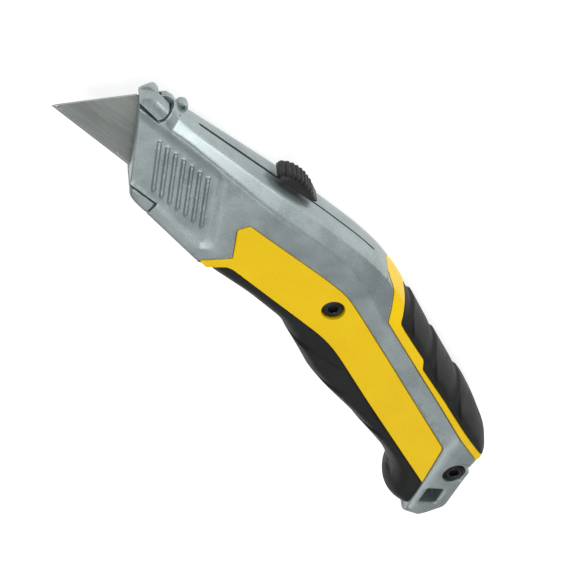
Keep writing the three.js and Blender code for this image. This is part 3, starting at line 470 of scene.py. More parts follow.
def ring_rows(centre, radii, count=44):
    """Points in circles of the given radii round a centre."""
    turn = np.linspace(0, 2 * np.pi, count, endpoint=False)
    circle = np.stack([np.cos(turn), np.sin(turn)], 1)
    return (centre + np.asarray(radii)[:, None, None] * circle[None]).reshape(-1, 2)


def recess(points, centre, radius):
    """How far the rounded edge of a round recess has fallen, and which points are inside it."""
    out = np.linalg.norm(points - centre, axis=1)
    return rounded(np.maximum(out - radius, 0), 0.35), out < radius


LANYARD_MIDDLE = np.array((86.9, -32.9))
lanyard_box = np.array([(-3.0, -2.8), (3.0, -2.8), (3.0, 2.8), (-3.0, 2.8)])
lanyard_axes = np.array([RIDGE_RUN, to_right(RIDGE_RUN)])
LANYARD_SLOT = even(softened(LANYARD_MIDDLE + lanyard_box @ lanyard_axes, 0.8), 0.5)
SKINS = [PANEL, TRIM, BACK_GRIP, FINGER_GRIP]
SEAM_EDGES = (SEAM, SEAM - 0.05)   # the wall beside a skin stands between these two outlines
SEAM_MIDDLE = SEAM - 0.025


def under_skins(points, grow):
    """True where a skin, grown by a distance, covers the point."""
    return np.any([inside(points, pushed(skin, grow)) for skin in SKINS], axis=0)


def in_casting(points, lever_gap):
    """Inside the silhouette and clear of the gaps, and beneath a skin only where the core is."""
    bare = ~under_skins(points, SEAM_MIDDLE)
    clear = ~inside(points, lever_gap) & ~inside(points, TOE_GAP) & ~inside(points, LANYARD_SLOT)
    return inside(points, BODY) & clear & (bare | inside(points, CORE))


# %% Inner and outer heights of a casting
BLADE_ROOM = even(np.array([
    (-95, -1.2), (-62, -3.0), (-30, -5.0), (2, -5.4), (2, 16.5), (-30, 18.0), (-60, 18.7),
    (-95, 18.7)]), 1.2)
CHANNEL = even(np.array([(-58, 19.0), (-58, -3.0), (-30, -5.8), (14, -6.4), (14, 15.8), (10, 19.0)]), 1.2)
STORE_ANGLE = math.radians(20.5)
STORE_RUN = np.array((math.cos(STORE_ANGLE), -math.sin(STORE_ANGLE)))
STORE = even(np.array((20, 0.9)) + np.array([(-0.4, -10.9), (63.5, -10.9), (63.5, 10.9), (-0.4, 10.9)])
             @ np.array([STORE_RUN, -to_right(STORE_RUN)]), 1.2)
LUG_POCKET = even(np.array([(-73, 17.7), (-66.0, 17.7), (-66.0, 21.6), (-70, 22.0), (-73, 22.4)]), 0.6)
CAVITIES = ((BLADE_ROOM, 0.6), (CHANNEL, 3.4), (STORE, 4.6), (LUG_POCKET, 2.3))  # outline and half depth


def hollow(points):
    """Level of the inner face: the deepest cavity there, or the slit in the top wall."""
    x, y = points.T
    slit = (x > SLIT_FRONT) & (x < SLIT_REAR) & (y > 15)
    top_wall = np.where(slit, np.where(x < SLIT_STEP, SLIT_HALF, REAR_SLIT_HALF), CLOSED_HALF)
    depth = top_wall
    for path, half in CAVITIES:
        depth = np.maximum(depth, np.where(inside(points, path), half, 0))
    return np.where((y > 19.3) & (x > -60), top_wall, depth)


SCREW_RECESSES = ((TAIL_SCREW, 3.5, 6.2), (MIDDLE_SCREW, 3.3, 5.9))  # centre, radius, level of the floor
BEVEL_FRONT, BEVEL_RISE = 0.9, 1.08   # the right half's nose corner: half width in front, and its rise


def crease_line(x):
    """Depth below the top line at which the chamfer meets the flank."""
    flat, run = chamfer_at(x)
    side = flank(np.column_stack([x, np.full(len(x), 25.0)]))
    return CROWN_DROP + (side - flat) / run


def casting(points, lever_gap, screws):
    """The hull, less the rounding of each edge, plus the ribs, and lower beneath skins and screws."""
    skin_gap = np.min([gap_to(points, pushed(skin, SEAM)) for skin in SKINS], axis=0)
    low_edge = points[:, 1] < np.interp(points[:, 0], (-80, -60, 60, 96), (18.6, 5, -20, -13))
    height = hull(points)
    edge_radius = np.interp(points[:, 0], (-62, -50, 79, 83, 87, 91), (0.5, 1.1, 1.1, 3.0, 2.4, 1.1))
    height = height - np.where(low_edge, rounded(gap_to(points, BODY), edge_radius), 0)
    height = height - rounded(np.minimum(gap_to(points, lever_gap), gap_to(points, TOE_GAP)), 0.2)
    height = height - rounded(gap_to(points, LANYARD_SLOT), 0.8) - rounded(skin_gap, 0.3) + ribs(points)
    from_screw = points - TAIL_SCREW
    groove = np.exp(-((np.linalg.norm(from_screw, axis=1) - 4.6) / 0.3) ** 2)
    groove *= ramp(from_screw @ (0.9, 0.1), -2.0, 1.5) * ramp(gap_to(points, BODY), 0.5, 1.4)
    height = height - 0.3 * groove
    height = np.where(under_skins(points, SEAM_MIDDLE), np.minimum(height - UNDER, 8.0), height)
    if screws:
        for centre, radius, floor in SCREW_RECESSES:
            drop, sunk = recess(points, centre, radius)
            height = np.where(sunk, floor, height - drop)
        return height
    behind_nose = np.maximum(points[:, 0] - nose_x(points[:, 1]), 0)
    return soft_min(height, BEVEL_FRONT + BEVEL_RISE * behind_nose, 0.3)


# %% Points for the castings
# Wherever the height bends, rows of points follow the bend.
casting_loops = [BODY, TOE_GAP, LANYARD_SLOT, CORE]
casting_loops += [pushed(skin, grow) for skin in SKINS for grow in SEAM_EDGES]
rib_across = np.array((0, -0.22, 0.22, -0.4, 0.4, -0.58, 0.58, -0.75, 0.75, -1.0, 1.0))
rib_along = np.concatenate([np.linspace(-0.8, 0.5, 7), np.arange(1.2, RIB_LENGTH - 1.3, 0.8),
                            np.linspace(RIB_LENGTH - 1.2, RIB_LENGTH, 5)])
rib_rows = (RIB_TOPS[:, None, None] + rib_along[None, :, None, None] * RIB_RUN
            + rib_across[None, None, :, None] * RIB_SIDE).reshape(-1, 2)
WALL_ROW = 0.06    # a step in the inner face stands between rows this far to its two sides
slit_ends = [end + side for end in (SLIT_FRONT, SLIT_REAR) for side in (-WALL_ROW, WALL_ROW)]
slit_rows = np.array([(x, y) for x in slit_ends for y in np.arange(15, 21.8, 0.5)])
crown_gaps = np.array((0.01, 0.04, 0.1, 0.2, 0.33, 0.5, 0.7, 0.9, 1.4, 2.2, 3.2, 4.3, 5.2))
tail_rings = (3.45, 3.5, 3.55, 3.62, 3.72, 3.85, 4.1, 4.3, 4.45, 4.6, 4.75, 4.9, 5.1, 5.4)
cloud = [rows_along(BODY, RIM), rows_along(BODY, ROUND[4:]), rib_rows, slit_rows,
         rows_along(even(TOP_LINE, 0.9, closed=False), crown_gaps, closed=False),
         rows_along(TOE_GAP, RIM[:4]), rows_along(LANYARD_SLOT, RIM[:5]),
         ring_rows(TAIL_SCREW, tail_rings), ring_rows(MIDDLE_SCREW, (3.25, 3.3, 3.35)),
         *[rows_along(pushed(skin, SEAM), RIM[:5]) for skin in SKINS],
         *[rows_along(path, (WALL_ROW,)) for path, half in CAVITIES]]
crest = even(TOP_LINE[(TOP_LINE[:, 0] < -80) | (TOP_LINE[:, 0] > -66)], 0.7, closed=False)
slope = np.gradient(crest, axis=0)
inwards = np.stack([slope[:, 1], -slope[:, 0]], 1) / size_of(slope)
near_crease = crease_line(crest[:, 0])[:, None] + np.array((-0.8, -0.4, -0.2, -0.07, 0.07, 0.2, 0.4, 0.8))
cloud.append((crest[:, None] + inwards[:, None] * near_crease[..., None]).reshape(-1, 2))
print("casting points:", sum(map(len, cloud)))

# %% Make the castings
for side, mirror, lever_gap in (("left", False, LEVER_GAP), ("right", True, RIGHT_LEVER_GAP)):
    shape = plan([*casting_loops, lever_gap], lambda points: in_casting(points, lever_gap),
                 [*cloud, rows_along(lever_gap, RIM[:4])])
    outer = casting(shape[0], lever_gap, screws=not mirror)
    corners, faces = solid_of(shape, outer, hollow(shape[0]))
    piece(f"{side}_casting", corners, faces, "handle", "cast_silver", (f"{side}_shell",), mirror)

# %% [markdown]
# ## Panels and trim
#
# The yellow pieces are injection-moulded plastic, flush with the casting. They follow
# the same hull, so only their own edges are new: a small round all along, which turns
# the seam beside the metal into the thin dark line that a real seam is.

# %% Skins
SKIN, SKIN_BACK = 0.4, 8.1   # least thickness, and highest level of the back of a skin
LOWEST = 0.08                # no outer face comes closer than this to the parting plane
EDGE_ROUND = 0.3


def inner_face(points, outer):
    """Skins lie on the metal core, at least SKIN thick, and beyond it they reach the parting plane."""
    return np.where(inside(points, CORE), np.clip(outer - SKIN, CLOSED_HALF, SKIN_BACK), CLOSED_HALF)


def skin_plan(region, shrink=0.0, pitch=1.6, extra=(), holes=()):
    """Plan of one skin: its region inside the silhouette, less any holes."""
    edge = pushed(region, -shrink) if shrink else region

    def keep(points):
        within = inside(points, BODY) & inside(points, edge)
        for hole in holes:
            within &= ~inside(points, hole)
        return within

    cloud = [rows_along(edge, RIM[:5]), rows_along(BODY, ROUND), *extra]
    return plan([edge, BODY, CORE, *holes], keep, cloud, pitch), edge


# %% Panels, trim and toe
SCREW_HOLE = ring_rows(MIDDLE_SCREW, (3.4,), 48)
hole_rows = ring_rows(MIDDLE_SCREW, (3.42, 3.46, 3.52, 3.62, 3.75, 3.9), 48)
trim_shape, trim_edge = skin_plan(TRIM)
for side, mirror in (("left", False), ("right", True)):
    holes = () if mirror else (SCREW_HOLE,)
    panel_shape, panel_edge = skin_plan(PANEL, extra=[hole_rows], holes=holes)
    points = panel_shape[0]
    height = flank(points) - rounded(gap_to(points, panel_edge), EDGE_ROUND)
    for hole in holes:
        height = height - rounded(gap_to(points, hole), 0.45)
    corners, faces = solid_of(panel_shape, height, np.full(len(points), SKIN_BACK))
    piece(f"{side}_panel", corners, faces, "handle", "yellow_panel", (f"{side}_side_panel",), mirror)

    points = trim_shape[0]
    height = np.maximum(hull(points) - rounded(gap_to(points, trim_edge), EDGE_ROUND), LOWEST)
    corners, faces = solid_of(trim_shape, height, inner_face(points, height))
    piece(f"{side}_trim", corners, faces, "handle", "yellow_panel", (f"{side}_back_trim",), mirror)

# The toe is one piece across both halves: its left part and the same part turned over.
toe_plan = plan([TOE, BODY], lambda points: inside(points, BODY) & inside(points, TOE),
                [rows_along(TOE, RIM[:5]), rows_along(BODY, RIM)], 1.0)
points = toe_plan[0]
height = flank(points) - rounded(gap_to(points, TOE), EDGE_ROUND) - rounded(gap_to(points, BODY), 1.1)
corners, faces = solid_of(toe_plan, height, np.full(len(height), 0.5))
faces = np.vstack([faces, faces[:, ::-1] + len(corners)])
corners = np.vstack([corners, corners * (1, 1, -1)])
piece("nose_toe", corners, faces, "handle", "cast_silver", ("nose_toe_piece",))

# %% [markdown]
# ## Rubber grips
#
# The soft parts are a thermoplastic rubber, moulded over the core. Their section is a
# quarter ellipse from the silhouette to the flank. Across them run shallow scales, each
# starting with a soft step at a notch of the silhouette and fading towards the next
# one: the height added is a step times an exponential fall behind it. Near the heel of
# the finger grip there is one short deep groove.

# %% Scales of the rubber
# Each step has a start on the silhouette and a direction across the grip.
BACK_STEPS = [((33.2, 13.9), (0.69, -0.72)), ((48.6, 7.7), (0.69, -0.72)), ((64.6, 1.7), (0.69, -0.72))]
FINGER_STEPS = [((7.5, -14.3), (1.0, 0.06)), ((23.0, -21.0), (0.97, 0.1)), ((44.0, -25.6), (0.97, 0.1))]
STEP_LENGTH = 22
GROOVE, GROOVE_DEPTH = np.array([(70.6, -33.4), (72.9, -36.3)]), 1.6


def scales(points, steps, rise, fade, side):
    """The highest, over the steps, of rise times an S-shaped step, times an exponential fall behind it."""
    total = np.zeros(len(points))
    for start, run in steps:
        run = np.array(run) / np.linalg.norm(run)
        behind = (points - start) @ (side * to_right(run))
        total = np.maximum(total, rise * ramp(behind, -0.3, 0.3) * np.exp(-np.maximum(behind, 0) / fade))
    return total


def step_rows(steps):
    """Rows of points along each step, close enough to carry its edge."""
    along = np.arange(0, STEP_LENGTH, 0.7)[:, None, None]
    across = np.array((-0.5, -0.3, -0.15, 0, 0.15, 0.3, 0.5, 0.9))[None, :, None]
    rows = []
    for start, run in steps:
        run = np.array(run) / np.linalg.norm(run)
        rows.append((np.array(start) + along * run + across * to_right(run)).reshape(-1, 2))
    return np.vstack(rows)


# %% Rubber grips
def grip(region, steps, rise, fade, side):
    """One grip, the same for both sides: rounded hull, lowered a little below the panel, plus scales."""
    groove_rows = rows_along(even(GROOVE, 0.4, closed=False), (0.1, 0.25, 0.4, 0.6, 0.8), closed=False)
    shape, edge = skin_plan(region, 0.12, 1.3, [step_rows(steps), groove_rows])
    points = shape[0]
    height = soft_min(flank(points), round_back(points, 6.6), 1.2)
    height = soft_min(height, facet(points), 0.9) - 0.12
    share = 0.25 + 0.75 * ramp(gap_to(points, BODY), 0, 3.5)
    share *= ramp(gap_to(points, edge), 0, 2.5)
    height = height + scales(points, steps, rise, fade, side) * share
    height = height - rounded(np.minimum(gap_to(points, edge), 9), 0.4)
    height = height - GROOVE_DEPTH * (1 - ramp(gap_to(points, GROOVE, closed=False), 0.15, 0.75))
    return shape, np.clip(height, LOWEST, HALF - 0.05)


for label, region, steps, rise, fade, side in (
        ("back", BACK_GRIP, BACK_STEPS, 1.3, 5.5, -1), ("finger", FINGER_GRIP, FINGER_STEPS, 1.2, 7.0, 1)):
    shape, height = grip(region, steps, rise, fade, side)
    corners, faces = solid_of(shape, height, inner_face(shape[0], height))
    for hand, mirror in (("left", False), ("right", True)):
        piece(f"{hand}_{label}_rubber", corners, faces, "handle", "black_rubber",
              (f"{hand}_{label}_grip",), mirror)

# %% [markdown]
# ## Lofts
#
# The thumb button and the nose lever are rounded on every side, so one height is not
# enough. They are lofts: a closed section, worked out as one ring of points, is placed
# at many stations along x while its height and width follow a curve. Ends are softened
# by making the last rings a little smaller.

# %% Loft and turned shapes
def ring_faces(rings, around):
    """Quads between neighbouring rings of a closed tube."""
    ring, j = np.meshgrid(np.arange(rings - 1) * around, np.arange(around), indexing="ij")
    k = (j + 1) % around
    return np.stack([ring + j, ring + around + j, ring + around + k, ring + k], -1).reshape(-1, 4)


def tube(grid):
    """Corners and faces of a closed tube through rings of points, each end closed onto its middle."""
    rings, around = grid.shape[:2]
    corners = np.vstack([grid.reshape(-1, 3), grid[0].mean(0), grid[-1].mean(0)])
    faces = ring_faces(rings, around).tolist()
    turn = np.arange(around)
    following = (turn + 1) % around
    last = rings * around
    rear = last - around
    faces += np.stack([np.full(around, last), turn, following], 1).tolist()
    faces += np.stack([np.full(around, last + 1), following + rear, turn + rear], 1).tolist()
    return corners, faces


def arch(around, power):
    """One ring in the unit square: an arch of raised power above, closed by a straight line below."""
    top = int(around * 0.72)
    turn = np.linspace(0, np.pi, top)
    across = np.sign(np.cos(turn)) * np.abs(np.cos(turn)) ** (2 / power)
    up = np.abs(np.sin(turn)) ** (2 / power)
    back = np.linspace(-1, 1, around - top + 2)[1:-1]
    return np.concatenate([across, back]), np.concatenate([up, np.zeros(len(back))])


def turned_shape(profile, centre, around=72):
    """Spins rows of (radius, height, share) round Z; the share blends a circle into a hexagon."""
    turn = np.linspace(0, 2 * np.pi, around, endpoint=False)
    sixth = np.pi / 3
    hexagon = np.cos(sixth / 2) / np.cos((turn % sixth) - sixth / 2)
    radius, height, share = np.array(profile, float).T
    r = radius[:, None] * (1 - share[:, None] + share[:, None] * hexagon)
    up = np.broadcast_to(height[:, None], r.shape)
    return np.stack([centre[0] + r * np.cos(turn), centre[1] + r * np.sin(turn), up], -1)


def squarish(turn, power):
    """Cosine and sine raised to a power with their signs kept, which squares a circle off."""
    return [np.sign(f(turn)) * np.abs(f(turn)) ** power for f in (np.cos, np.sin)]


# %% [markdown]
# ## Thumb button
#
# The button is moulded from hard-wearing acetal plastic. Ribs across its crown stop the
# thumb from slipping: their wave is the absolute value of a cosine, so they are round
# on top and sharp between. The flanks stay smooth, with a bevel above. A pocket in the
# underside leaves room for the spring.

# %% Thumb button
BUTTON_X = (-29.8, -29.72, -29.4, -28.1, -27.0, -25.4, -23.7, -22.0, -18.7, -16.4, -14.7, -14.25, -14.2)
BUTTON_CROWN = (24.6, 25.3, 25.75, 26.4, 26.9, 27.15, 27.2, 27.0, 25.95, 25.0, 24.2, 23.8, 23.6)
BUTTON_WIDE = (2.9, 3.1, 3.5, 3.8, 3.9, 3.9, 3.9, 3.9, 3.65, 3.1, 2.2, 1.6, 1.3)
BUTTON_BASE, BUTTON_RISE = 23.55, 3.7
RIB_WAVE, TOOTH = 1.52, 0.7   # pitch of the ribs and their height
station = np.concatenate([[-29.8, -29.77, -29.7, -29.55], np.linspace(-29.4, -14.6, 190),
                          [-14.45, -14.3, -14.23, -14.2]])
crown, wide = np.interp(station, BUTTON_X, BUTTON_CROWN), np.interp(station, BUTTON_X, BUTTON_WIDE)
across, up = arch(72, 5.5)
button = np.empty((len(station), len(across), 3))
button[..., 0] = station[:, None]
button[..., 1] = BUTTON_BASE + (crown - BUTTON_BASE)[:, None] * up
button[..., 2] = wide[:, None] * across
bevel = ramp(np.abs(across), 0.62, 1.0)[None] * ramp(up, 0.5, 1.0)[None]
wave = np.abs(np.cos(np.pi * (station + 29.3) / RIB_WAVE)) - 0.62
wave *= ramp(station, -29.6, -28.9) * (1 - ramp(station, -18.3, -16.8))
teeth = wave[:, None] * ramp(up, 0.72, 0.95)[None]
button[..., 1] += TOOTH * teeth - 0.55 * bevel * (crown - BUTTON_BASE)[:, None] / BUTTON_RISE
button[..., 2] += 0.3 * teeth * np.sign(across)[None] * ramp(np.abs(across), 0.8, 1.0)[None]
x, t = button[..., 0], button[..., 2]
spring_room = ramp(t, -3.0, -2.5) * (1 - ramp(t, -0.3, 0.2))
spring_room *= ramp(x, -25.8, -25.2) * (1 - ramp(x, -19.8, -19.2))
button[..., 1] += spring_room * (up == 0)[None]
corners, faces = tube(button)
piece("ribbed_thumb_button", corners, faces, "button", "black_plastic", ("thumb_button",), crease=50)

# %% [markdown]
# ## Nose lever
#
# The lever is a small casting of the same metal as the body. Its flanks continue the
# chamfer of the castings and its crown rises to a rounded hump. It reaches farther back
# over the left half than over the right one, and a lug in the middle reaches back to
# the pin it turns on. Its rear edge leans forward, to stay clear when the lever lifts.

# %% Nose lever
END_SOFT, END_SHRINK = 0.03, 0.25   # share of the length over which an end is softened, and by how much
REAR_MIDDLE = (-73.3, 20.8, 0.0)
along = np.concatenate([[0, 0.004, 0.015, 0.035], np.linspace(0.06, 0.94, 54), [0.965, 0.985, 0.996, 1]])
crown = np.interp(along, (0, 0.1, 0.2, 0.35, 0.5, 0.62, 0.8, 1),
                  (19.95, 20.75, 21.45, 22.25, 22.75, 22.9, 22.75, 22.4))
crown = np.convolve(np.pad(crown, 3, "edge"), np.ones(7) / 7, "valid")
half_section = np.array([(1, 0), (1, 0.32), (0.94, 0.46), (0.83, 0.68), (0.73, 0.83), (0.6, 0.92),
                         (0.4, 0.98), (0.2, 1.0), (0, 1.0)])
section = even(np.vstack([half_section, half_section[-2::-1] * (-1, 1)]), 0.06, closed=False)
floor_points = np.column_stack([np.linspace(-1, 1, 22)[1:-1], np.zeros(20)])
across, up = np.vstack([section, floor_points]).T
floor_near = np.interp(along, (0, 1), (19.55, 18.65))
wide = np.interp(along, (0, 1), (5.35, 6.05))
shrink = END_SHRINK * (1 - np.sqrt(1 - np.clip(1 - np.minimum(along, 1 - along) / END_SOFT, 0, 1) ** 2))
wide, crown = wide - shrink, crown - shrink
lever = np.empty((len(along), len(across), 3))
lever[..., 2] = wide[:, None] * across
lever[..., 1] = floor_near[:, None] + (crown - floor_near)[:, None] * up
front = NOSE_X - 0.05 + (TOP_Y - lever[..., 1]) * NOSE_LEAN * 0.8
front += np.maximum(-lever[..., 2] - BEVEL_FRONT, 0) / BEVEL_RISE
rear = np.interp(lever[..., 1], (18.6, 19.9, 21.6, 23), (-70.85, -70.08, -69.45, -69.8))
behind_seam = np.minimum(rear, np.interp(lever[..., 1], (20, 23), (-73.15, -73.6)))
rear = rear + (behind_seam - rear) * ramp(-lever[..., 2], -0.8, -0.1)
lever[..., 0] = front + (rear - front) * along[:, None]
corners, faces = tube(lever)
corners[-1] = REAR_MIDDLE     # keeps the rear end ahead of the right casting

# %% Lug of the lever
LUG_FRONT, LUG_LENGTH, LUG_TALL, LUG_WIDE = -74.0, 7.4, 1.15, 1.6
PIN_Y, LUG_MIDDLE = 19.9, 0.1
reach = np.linspace(0, 1, 17)
size = np.sqrt(np.clip(1 - np.clip((reach - 0.62) / 0.38, 0, 1) ** 2, 0.0004, 1))[:, None]
lug_across, lug_up = squarish(np.linspace(0, 2 * np.pi, 24, endpoint=False), 0.7)
lug = np.empty((len(reach), len(lug_up), 3))
lug[..., 0] = (LUG_FRONT + reach * LUG_LENGTH)[:, None]
lug[..., 1] = PIN_Y + LUG_TALL * size * lug_up
lug[..., 2] = LUG_MIDDLE + LUG_WIDE * size * lug_across
lug_corners, lug_faces = tube(lug)
faces = [f[::-1] for f in faces] + [[i + len(corners) for i in f] for f in lug_faces]
piece("nose_lever", np.vstack([corners, lug_corners]), faces, "lever", "cast_silver", ("release_lever",))

# %% [markdown]
# ## Screws, eyelet and blade
#
# Screws are turned shapes: a profile spun round an axis, with a hexagon for the socket.
# The eyelet on the top edge is a ring with a squarish section. The blade is a flat plan
# with its lower edge ground to a wedge on both faces: one more height over a plan.

# %% Screws and eyelet
def screw(name, centre, seat, node_name):
    """Button head on a plain shank: socket floor and wall, crown, rim, then shank."""
    top, floor, end = seat + 2.1, seat + 0.9, seat - 12
    profile = [(0.001, floor, 1), (1.45, floor, 1), (1.5, floor + 0.05, 1), (1.5, top - 0.12, 1),
               (1.62, top, 0.6), (1.9, top, 0), (2.5, top - 0.05, 0), (2.95, top - 0.25, 0),
               (3.15, top - 0.6, 0), (3.2, seat + 0.1, 0), (3.1, seat, 0), (1.5, seat, 0),
               (1.5, end + 0.5, 0), (1.2, end, 0), (0.001, end, 0)]
    corners, faces = tube(turned_shape(profile, centre))
    return piece(name, corners, faces, "handle", "black_steel", (node_name,))


screw("panel_screw", MIDDLE_SCREW, 7.9, "middle_screw")
screw("facet_screw", TAIL_SCREW, 6.35, "tail_screw")

EYELET = np.array((-64.4, 22.0, -3.2))
EYELET_RADIUS, EYELET_WIRE, EYELET_HALF, EYELET_STRETCH = 1.12, 0.55, 1.6, 1.1
AROUND, SECTION = 40, 20
turn = np.linspace(0, 2 * np.pi, AROUND, endpoint=False)[:, None]
wire, level = squarish(np.linspace(0, 2 * np.pi, SECTION, endpoint=False), 0.6)
reach_out = EYELET_RADIUS + EYELET_WIRE * wire
ring = np.stack([reach_out * np.cos(turn) * EYELET_STRETCH, reach_out * np.sin(turn),
                 np.broadcast_to(EYELET_HALF * level, (AROUND, SECTION))], -1)
faces = ring_faces(AROUND + 1, SECTION) % (AROUND * SECTION)
piece("top_eyelet", (EYELET + ring).reshape(-1, 3), faces[:, ::-1], "handle", "cast_silver")

# %% Blade
TILT = math.radians(3.7)
EDGE_RUN = np.array((math.cos(TILT), -math.sin(TILT)))
EDGE_UP = np.array((math.sin(TILT), math.cos(TILT)))
BLADE_TIP = np.array((-93.7, 0.2))
EDGE_HALF, BLADE_HALF = 0.025, 0.325   # half thickness at the cutting edge and of the sheet
LONG, TALL, SLANT, NOTCH_Y, NOTCH = 61.5, 19, 14.25, 15.6, 2.2
notches = [(rear - across, y) for rear in (37.35, 26.35)
           for across, y in ((0, TALL), (0, NOTCH_Y), (NOTCH, NOTCH_Y), (NOTCH, TALL))]
blade_corners = np.array([(0, 0), (LONG, 0), (LONG - SLANT, TALL), *notches, (SLANT, TALL)])
blade_path = even(BLADE_TIP + blade_corners @ np.array([EDGE_RUN, EDGE_UP]), 1.0)
BEVEL = 1.0
bevel_line = BLADE_TIP + np.linspace(-1, 62, 60)[:, None] * EDGE_RUN
bevel_rows = (0.2, 0.6, BEVEL - 0.04, BEVEL, BEVEL + 0.04, BEVEL + 0.3)
bevel_cloud = np.vstack([bevel_line + EDGE_UP * row for row in bevel_rows])
blade_plan = plan([blade_path], lambda points: inside(points, blade_path), [bevel_cloud], 1.8)
height_up = (blade_plan[0] - BLADE_TIP) @ EDGE_UP
half = EDGE_HALF + (BLADE_HALF - EDGE_HALF) * np.clip(height_up / BEVEL, 0, 1)
corners, faces = solid_of(blade_plan, half, -half)
blade = piece("trapezoid_blade", corners, faces, "carriage", "blade_steel", ("blade",), crease=4)

# %% [markdown]
# ## Finishes
#
# Each finish starts from the real material. Patterns read Object coordinates, which are
# metres here, so a pattern's scale is one over its real size in metres. Colours are
# given as they look on a screen and turned to the linear values that shaders use.

# %% Colour and node helpers
def linear(code):
    """sRGB hex to linear RGBA."""
    value = np.array([int(code[i:i + 2], 16) for i in (1, 3, 5)]) / 255
    return (*np.where(value <= 0.04045, value / 12.92, ((value + 0.055) / 1.055) ** 2.4).tolist(), 1.0)


def node(tree, kind, inputs=(), **settings):
    """Adds one shader node; each socket gets a value or another node's output."""
    made = tree.nodes.new("ShaderNode" + kind)
    for key, value in settings.items():
        setattr(made, key, value)
    for socket, value in dict(inputs).items():
        if isinstance(value, bpy.types.NodeSocket):
            tree.links.new(value, made.inputs[socket])
        else:
            made.inputs[socket].default_value = value
    return made


CLOUD_MM = 9.0           # size of the broad unevenness
RELIEF = 0.00005         # depth of a bump at full strength, metres


def emptied(owner):
    """The node tree of a material or world, with nothing in it."""
    owner.use_nodes = True
    owner.node_tree.nodes.clear()
    return owner.node_tree


def finish(name, low, high, grain_mm, roughness, bump, metallic=0.0, ior=1.5, stretch=(1, 1, 1), turn=0.0,
           spread=0.06, specular=0.5):
    """Colour and roughness follow a fine grain plus a broad cloud; the bump follows the grain."""
    material = bpy.data.materials.new(name)
    tree = emptied(material)
    place = node(tree, "TexCoord").outputs["Object"]
    mapping = {"Vector": place, "Rotation": (0, 0, turn), "Scale": stretch}
    place = node(tree, "Mapping", mapping).outputs["Vector"]
    grain = node(tree, "TexNoise", {
        "Vector": place, "Scale": 1000 / grain_mm, "Detail": 3.0, "Roughness": 0.6}).outputs["Fac"]
    broad = node(tree, "TexNoise", {
        "Vector": place, "Scale": 1000 / CLOUD_MM, "Detail": 2.0, "Roughness": 0.5}).outputs["Fac"]
    both = node(tree, "Math", {0: grain, 1: broad}, operation="ADD").outputs[0]
    share = node(tree, "MapRange", {"Value": both, "From Min": 0.75, "From Max": 1.25}).outputs[0]
    colour = node(tree, "Mix", {"Factor": share, 6: linear(low), 7: linear(high)},
                  data_type="RGBA")
    rough = node(tree, "MapRange", {
        "Value": share, "To Min": roughness - spread, "To Max": roughness + spread})
    relief = node(tree, "Bump", {"Height": grain, "Strength": bump, "Distance": RELIEF})
    shader = node(tree, "BsdfPrincipled", {
        "Base Color": colour.outputs[2], "Roughness": rough.outputs[0], "Normal": relief.outputs[0],
        "Metallic": metallic, "IOR": ior, "Specular IOR Level": specular})
    node(tree, "OutputMaterial", {"Surface": shader.outputs[0]})
    return material


# %% Finishes
# Zinc casting, blasted and lacquered silver: a fine sparkle and a soft wide highlight.
cast_silver = finish("lacquered_zinc_casting", "#808a8c", "#9aa4a4", 0.45, 0.36, 0.22, metallic=0.62)
# ABS plastic, moulded in a polished tool: even colour, low broad sheen, faint ripple.
yellow_abs = finish("moulded_yellow_abs", "#e2ba00", "#e8c200", 0.8, 0.42, 0.05, ior=1.54, spread=0.03,
                    specular=0.2)
# Thermoplastic rubber: nearly black, matt from a fine moulded grain.
black_rubber = finish("moulded_black_rubber", "#141615", "#1f2120", 0.5, 0.6, 0.4, spread=0.08,
                      specular=0.2)
# Acetal plastic of the thumb button: harder and a little shinier than the rubber.
black_acetal = finish("moulded_black_acetal", "#0e0e0d", "#1b1b19", 0.4, 0.44, 0.25, ior=1.48,
                      specular=0.35)
# Black-oxide steel of the screws: dark metal with an oily sheen.
black_oxide = finish("black_oxide_steel", "#15171a", "#2a2d31", 0.3, 0.34, 0.15, metallic=0.7)
# Blade steel, ground along its length: fine lines stretched along the edge.
blade_steel = finish("ground_blade_steel", "#8b918e", "#989d9a", 0.5, 0.36, 0.05, metallic=0.85,
                     stretch=(0.06, 1, 1), turn=TILT)
# The same steel where the edge is ground: brighter, with lines across the edge.
edge_steel = finish("ground_blade_edge", "#a9aeaa", "#bcc0bd", 0.3, 0.28, 0.06, metallic=0.85,
                    stretch=(1, 0.08, 1), turn=TILT)
# Pressed steel of the hidden parts, bright zinc plate.
zinc_plate = finish("zinc_plated_sheet_steel", "#8d9297", "#b4b8bb", 0.8, 0.33, 0.08, metallic=1.0)
# Spring steel: browner and smoother.
spring_steel = finish("tempered_spring_steel", "#6c6862", "#8a857d", 0.6, 0.28, 0.05, metallic=1.0)

# %% Give each piece its finish
FINISH_OF = {"cast_silver": cast_silver, "yellow_panel": yellow_abs, "black_rubber": black_rubber,
             "black_plastic": black_acetal, "black_steel": black_oxide, "blade_steel": blade_steel,
             "sheet_steel": zinc_plate}
SPRINGS = ("button_spring", "lever_spring", "blade_clip")
record_slots = {part["node"]: part["material_slot"] for part in frame["record"]["subparts"]}
for obj in [o for o in bpy.context.scene.objects if o.type == "MESH"]:
    wanted = obj.get("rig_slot") or record_slots.get(obj.name)
    material = spring_steel if obj.name in SPRINGS else FINISH_OF[wanted]
    obj.data.materials.clear()
    obj.data.materials.append(material)

# The ground edge is where a face of the blade is tilted, neither flat nor a side wall.
blade.data.materials.append(edge_steel)
normals = np.zeros(len(blade.data.polygons) * 3)
blade.data.polygons.foreach_get("normal", normals)
facing = np.abs(normals.reshape(-1, 3)[:, 2])
ground = (facing > 0.5) & (facing < 0.999)
blade.data.polygons.foreach_set("material_index", ground.astype(np.int32))
print("finishes:", len(bpy.data.materials))

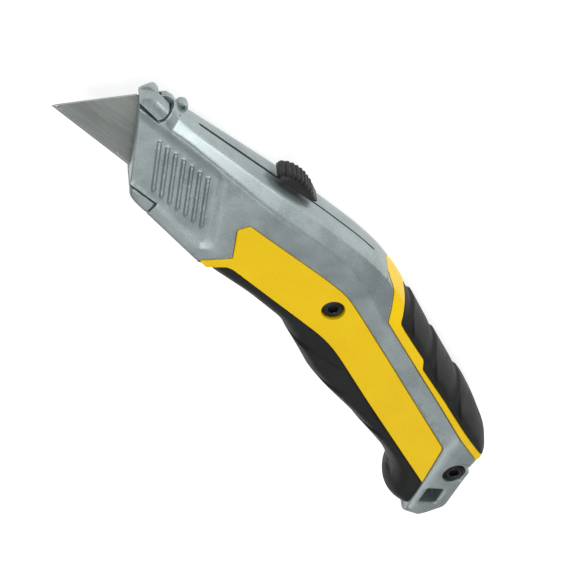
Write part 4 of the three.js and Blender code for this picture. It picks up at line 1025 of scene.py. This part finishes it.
# %% [markdown]
# ## Floor and light
#
# Such tools are shown on white with large soft lights. A pale floor that glows a little
# and an even bright surround give the white, and one broad lamp above gives the soft
# light. Four small lamps each stand where one sloping surface mirrors them towards the
# camera: two for the chamfer, one for the sunk nose pad and one for the tail.

# %% Floor
REACH, FLOOR_Z = 6, -0.0002   # metres
floor_corners = [(x * REACH, y * REACH, FLOOR_Z) for x, y in ((-1, -1), (1, -1), (1, 1), (-1, 1))]
floor_mesh = bpy.data.meshes.new("floor")
floor_mesh.from_pydata(floor_corners, [], [(0, 1, 2, 3)])
floor = placed("floor", floor_mesh)
# Opal acrylic sheet, lit from below: matt, with its own even glow.
acrylic = bpy.data.materials.new("lit_white_acrylic")
tree = emptied(acrylic)
glow = node(tree, "BsdfPrincipled", {
    "Base Color": linear("#cacaca"), "Roughness": 0.9, "Specular IOR Level": 0.0,
    "Emission Color": (1, 1, 1, 1), "Emission Strength": 0.7})
node(tree, "OutputMaterial", {"Surface": glow.outputs[0]})
floor.data.materials.append(acrylic)

# %% Lights
world = bpy.data.worlds.new("studio")
bpy.context.scene.world = world
tree = emptied(world)
sky = node(tree, "Background", {"Color": (1, 1, 1, 1), "Strength": 0.45})
node(tree, "OutputWorld", {"Surface": sky.outputs[0]})


def area_light(name, target, direction, distance, size, power):
    """A square lamp at a distance along a direction from a point of the knife, facing it."""
    lamp = bpy.data.lights.new(name, "AREA")
    lamp.size, lamp.energy = size, power
    direction = Vector(direction).normalized()
    turned = direction.to_track_quat("Z", "Y").to_matrix().to_4x4()
    placed(name, lamp).matrix_world = Matrix.Translation(Vector(target) + direction * distance) @ turned


area_light("chamfer_light", (-0.064, 0.021, 0.016), (0.335, 0.915, 0.235), 0.2, 0.055, 0.11)
area_light("band_light", (-0.042, 0.021, 0.016), (0.41, 0.83, 0.38), 0.3, 0.07, 0.04)
area_light("top_light", AIM, (-0.1, 0.1, 1.0), 1.3, 0.9, 8.5)
area_light("pad_light", AIM, (0.02, -0.42, 0.91), 0.8, 0.14, 0.45)
area_light("ridge_light", AIM, (0.72, -0.39, 0.57), 0.8, 0.12, 0.3)
bpy.context.scene.view_settings.view_transform = "Standard"
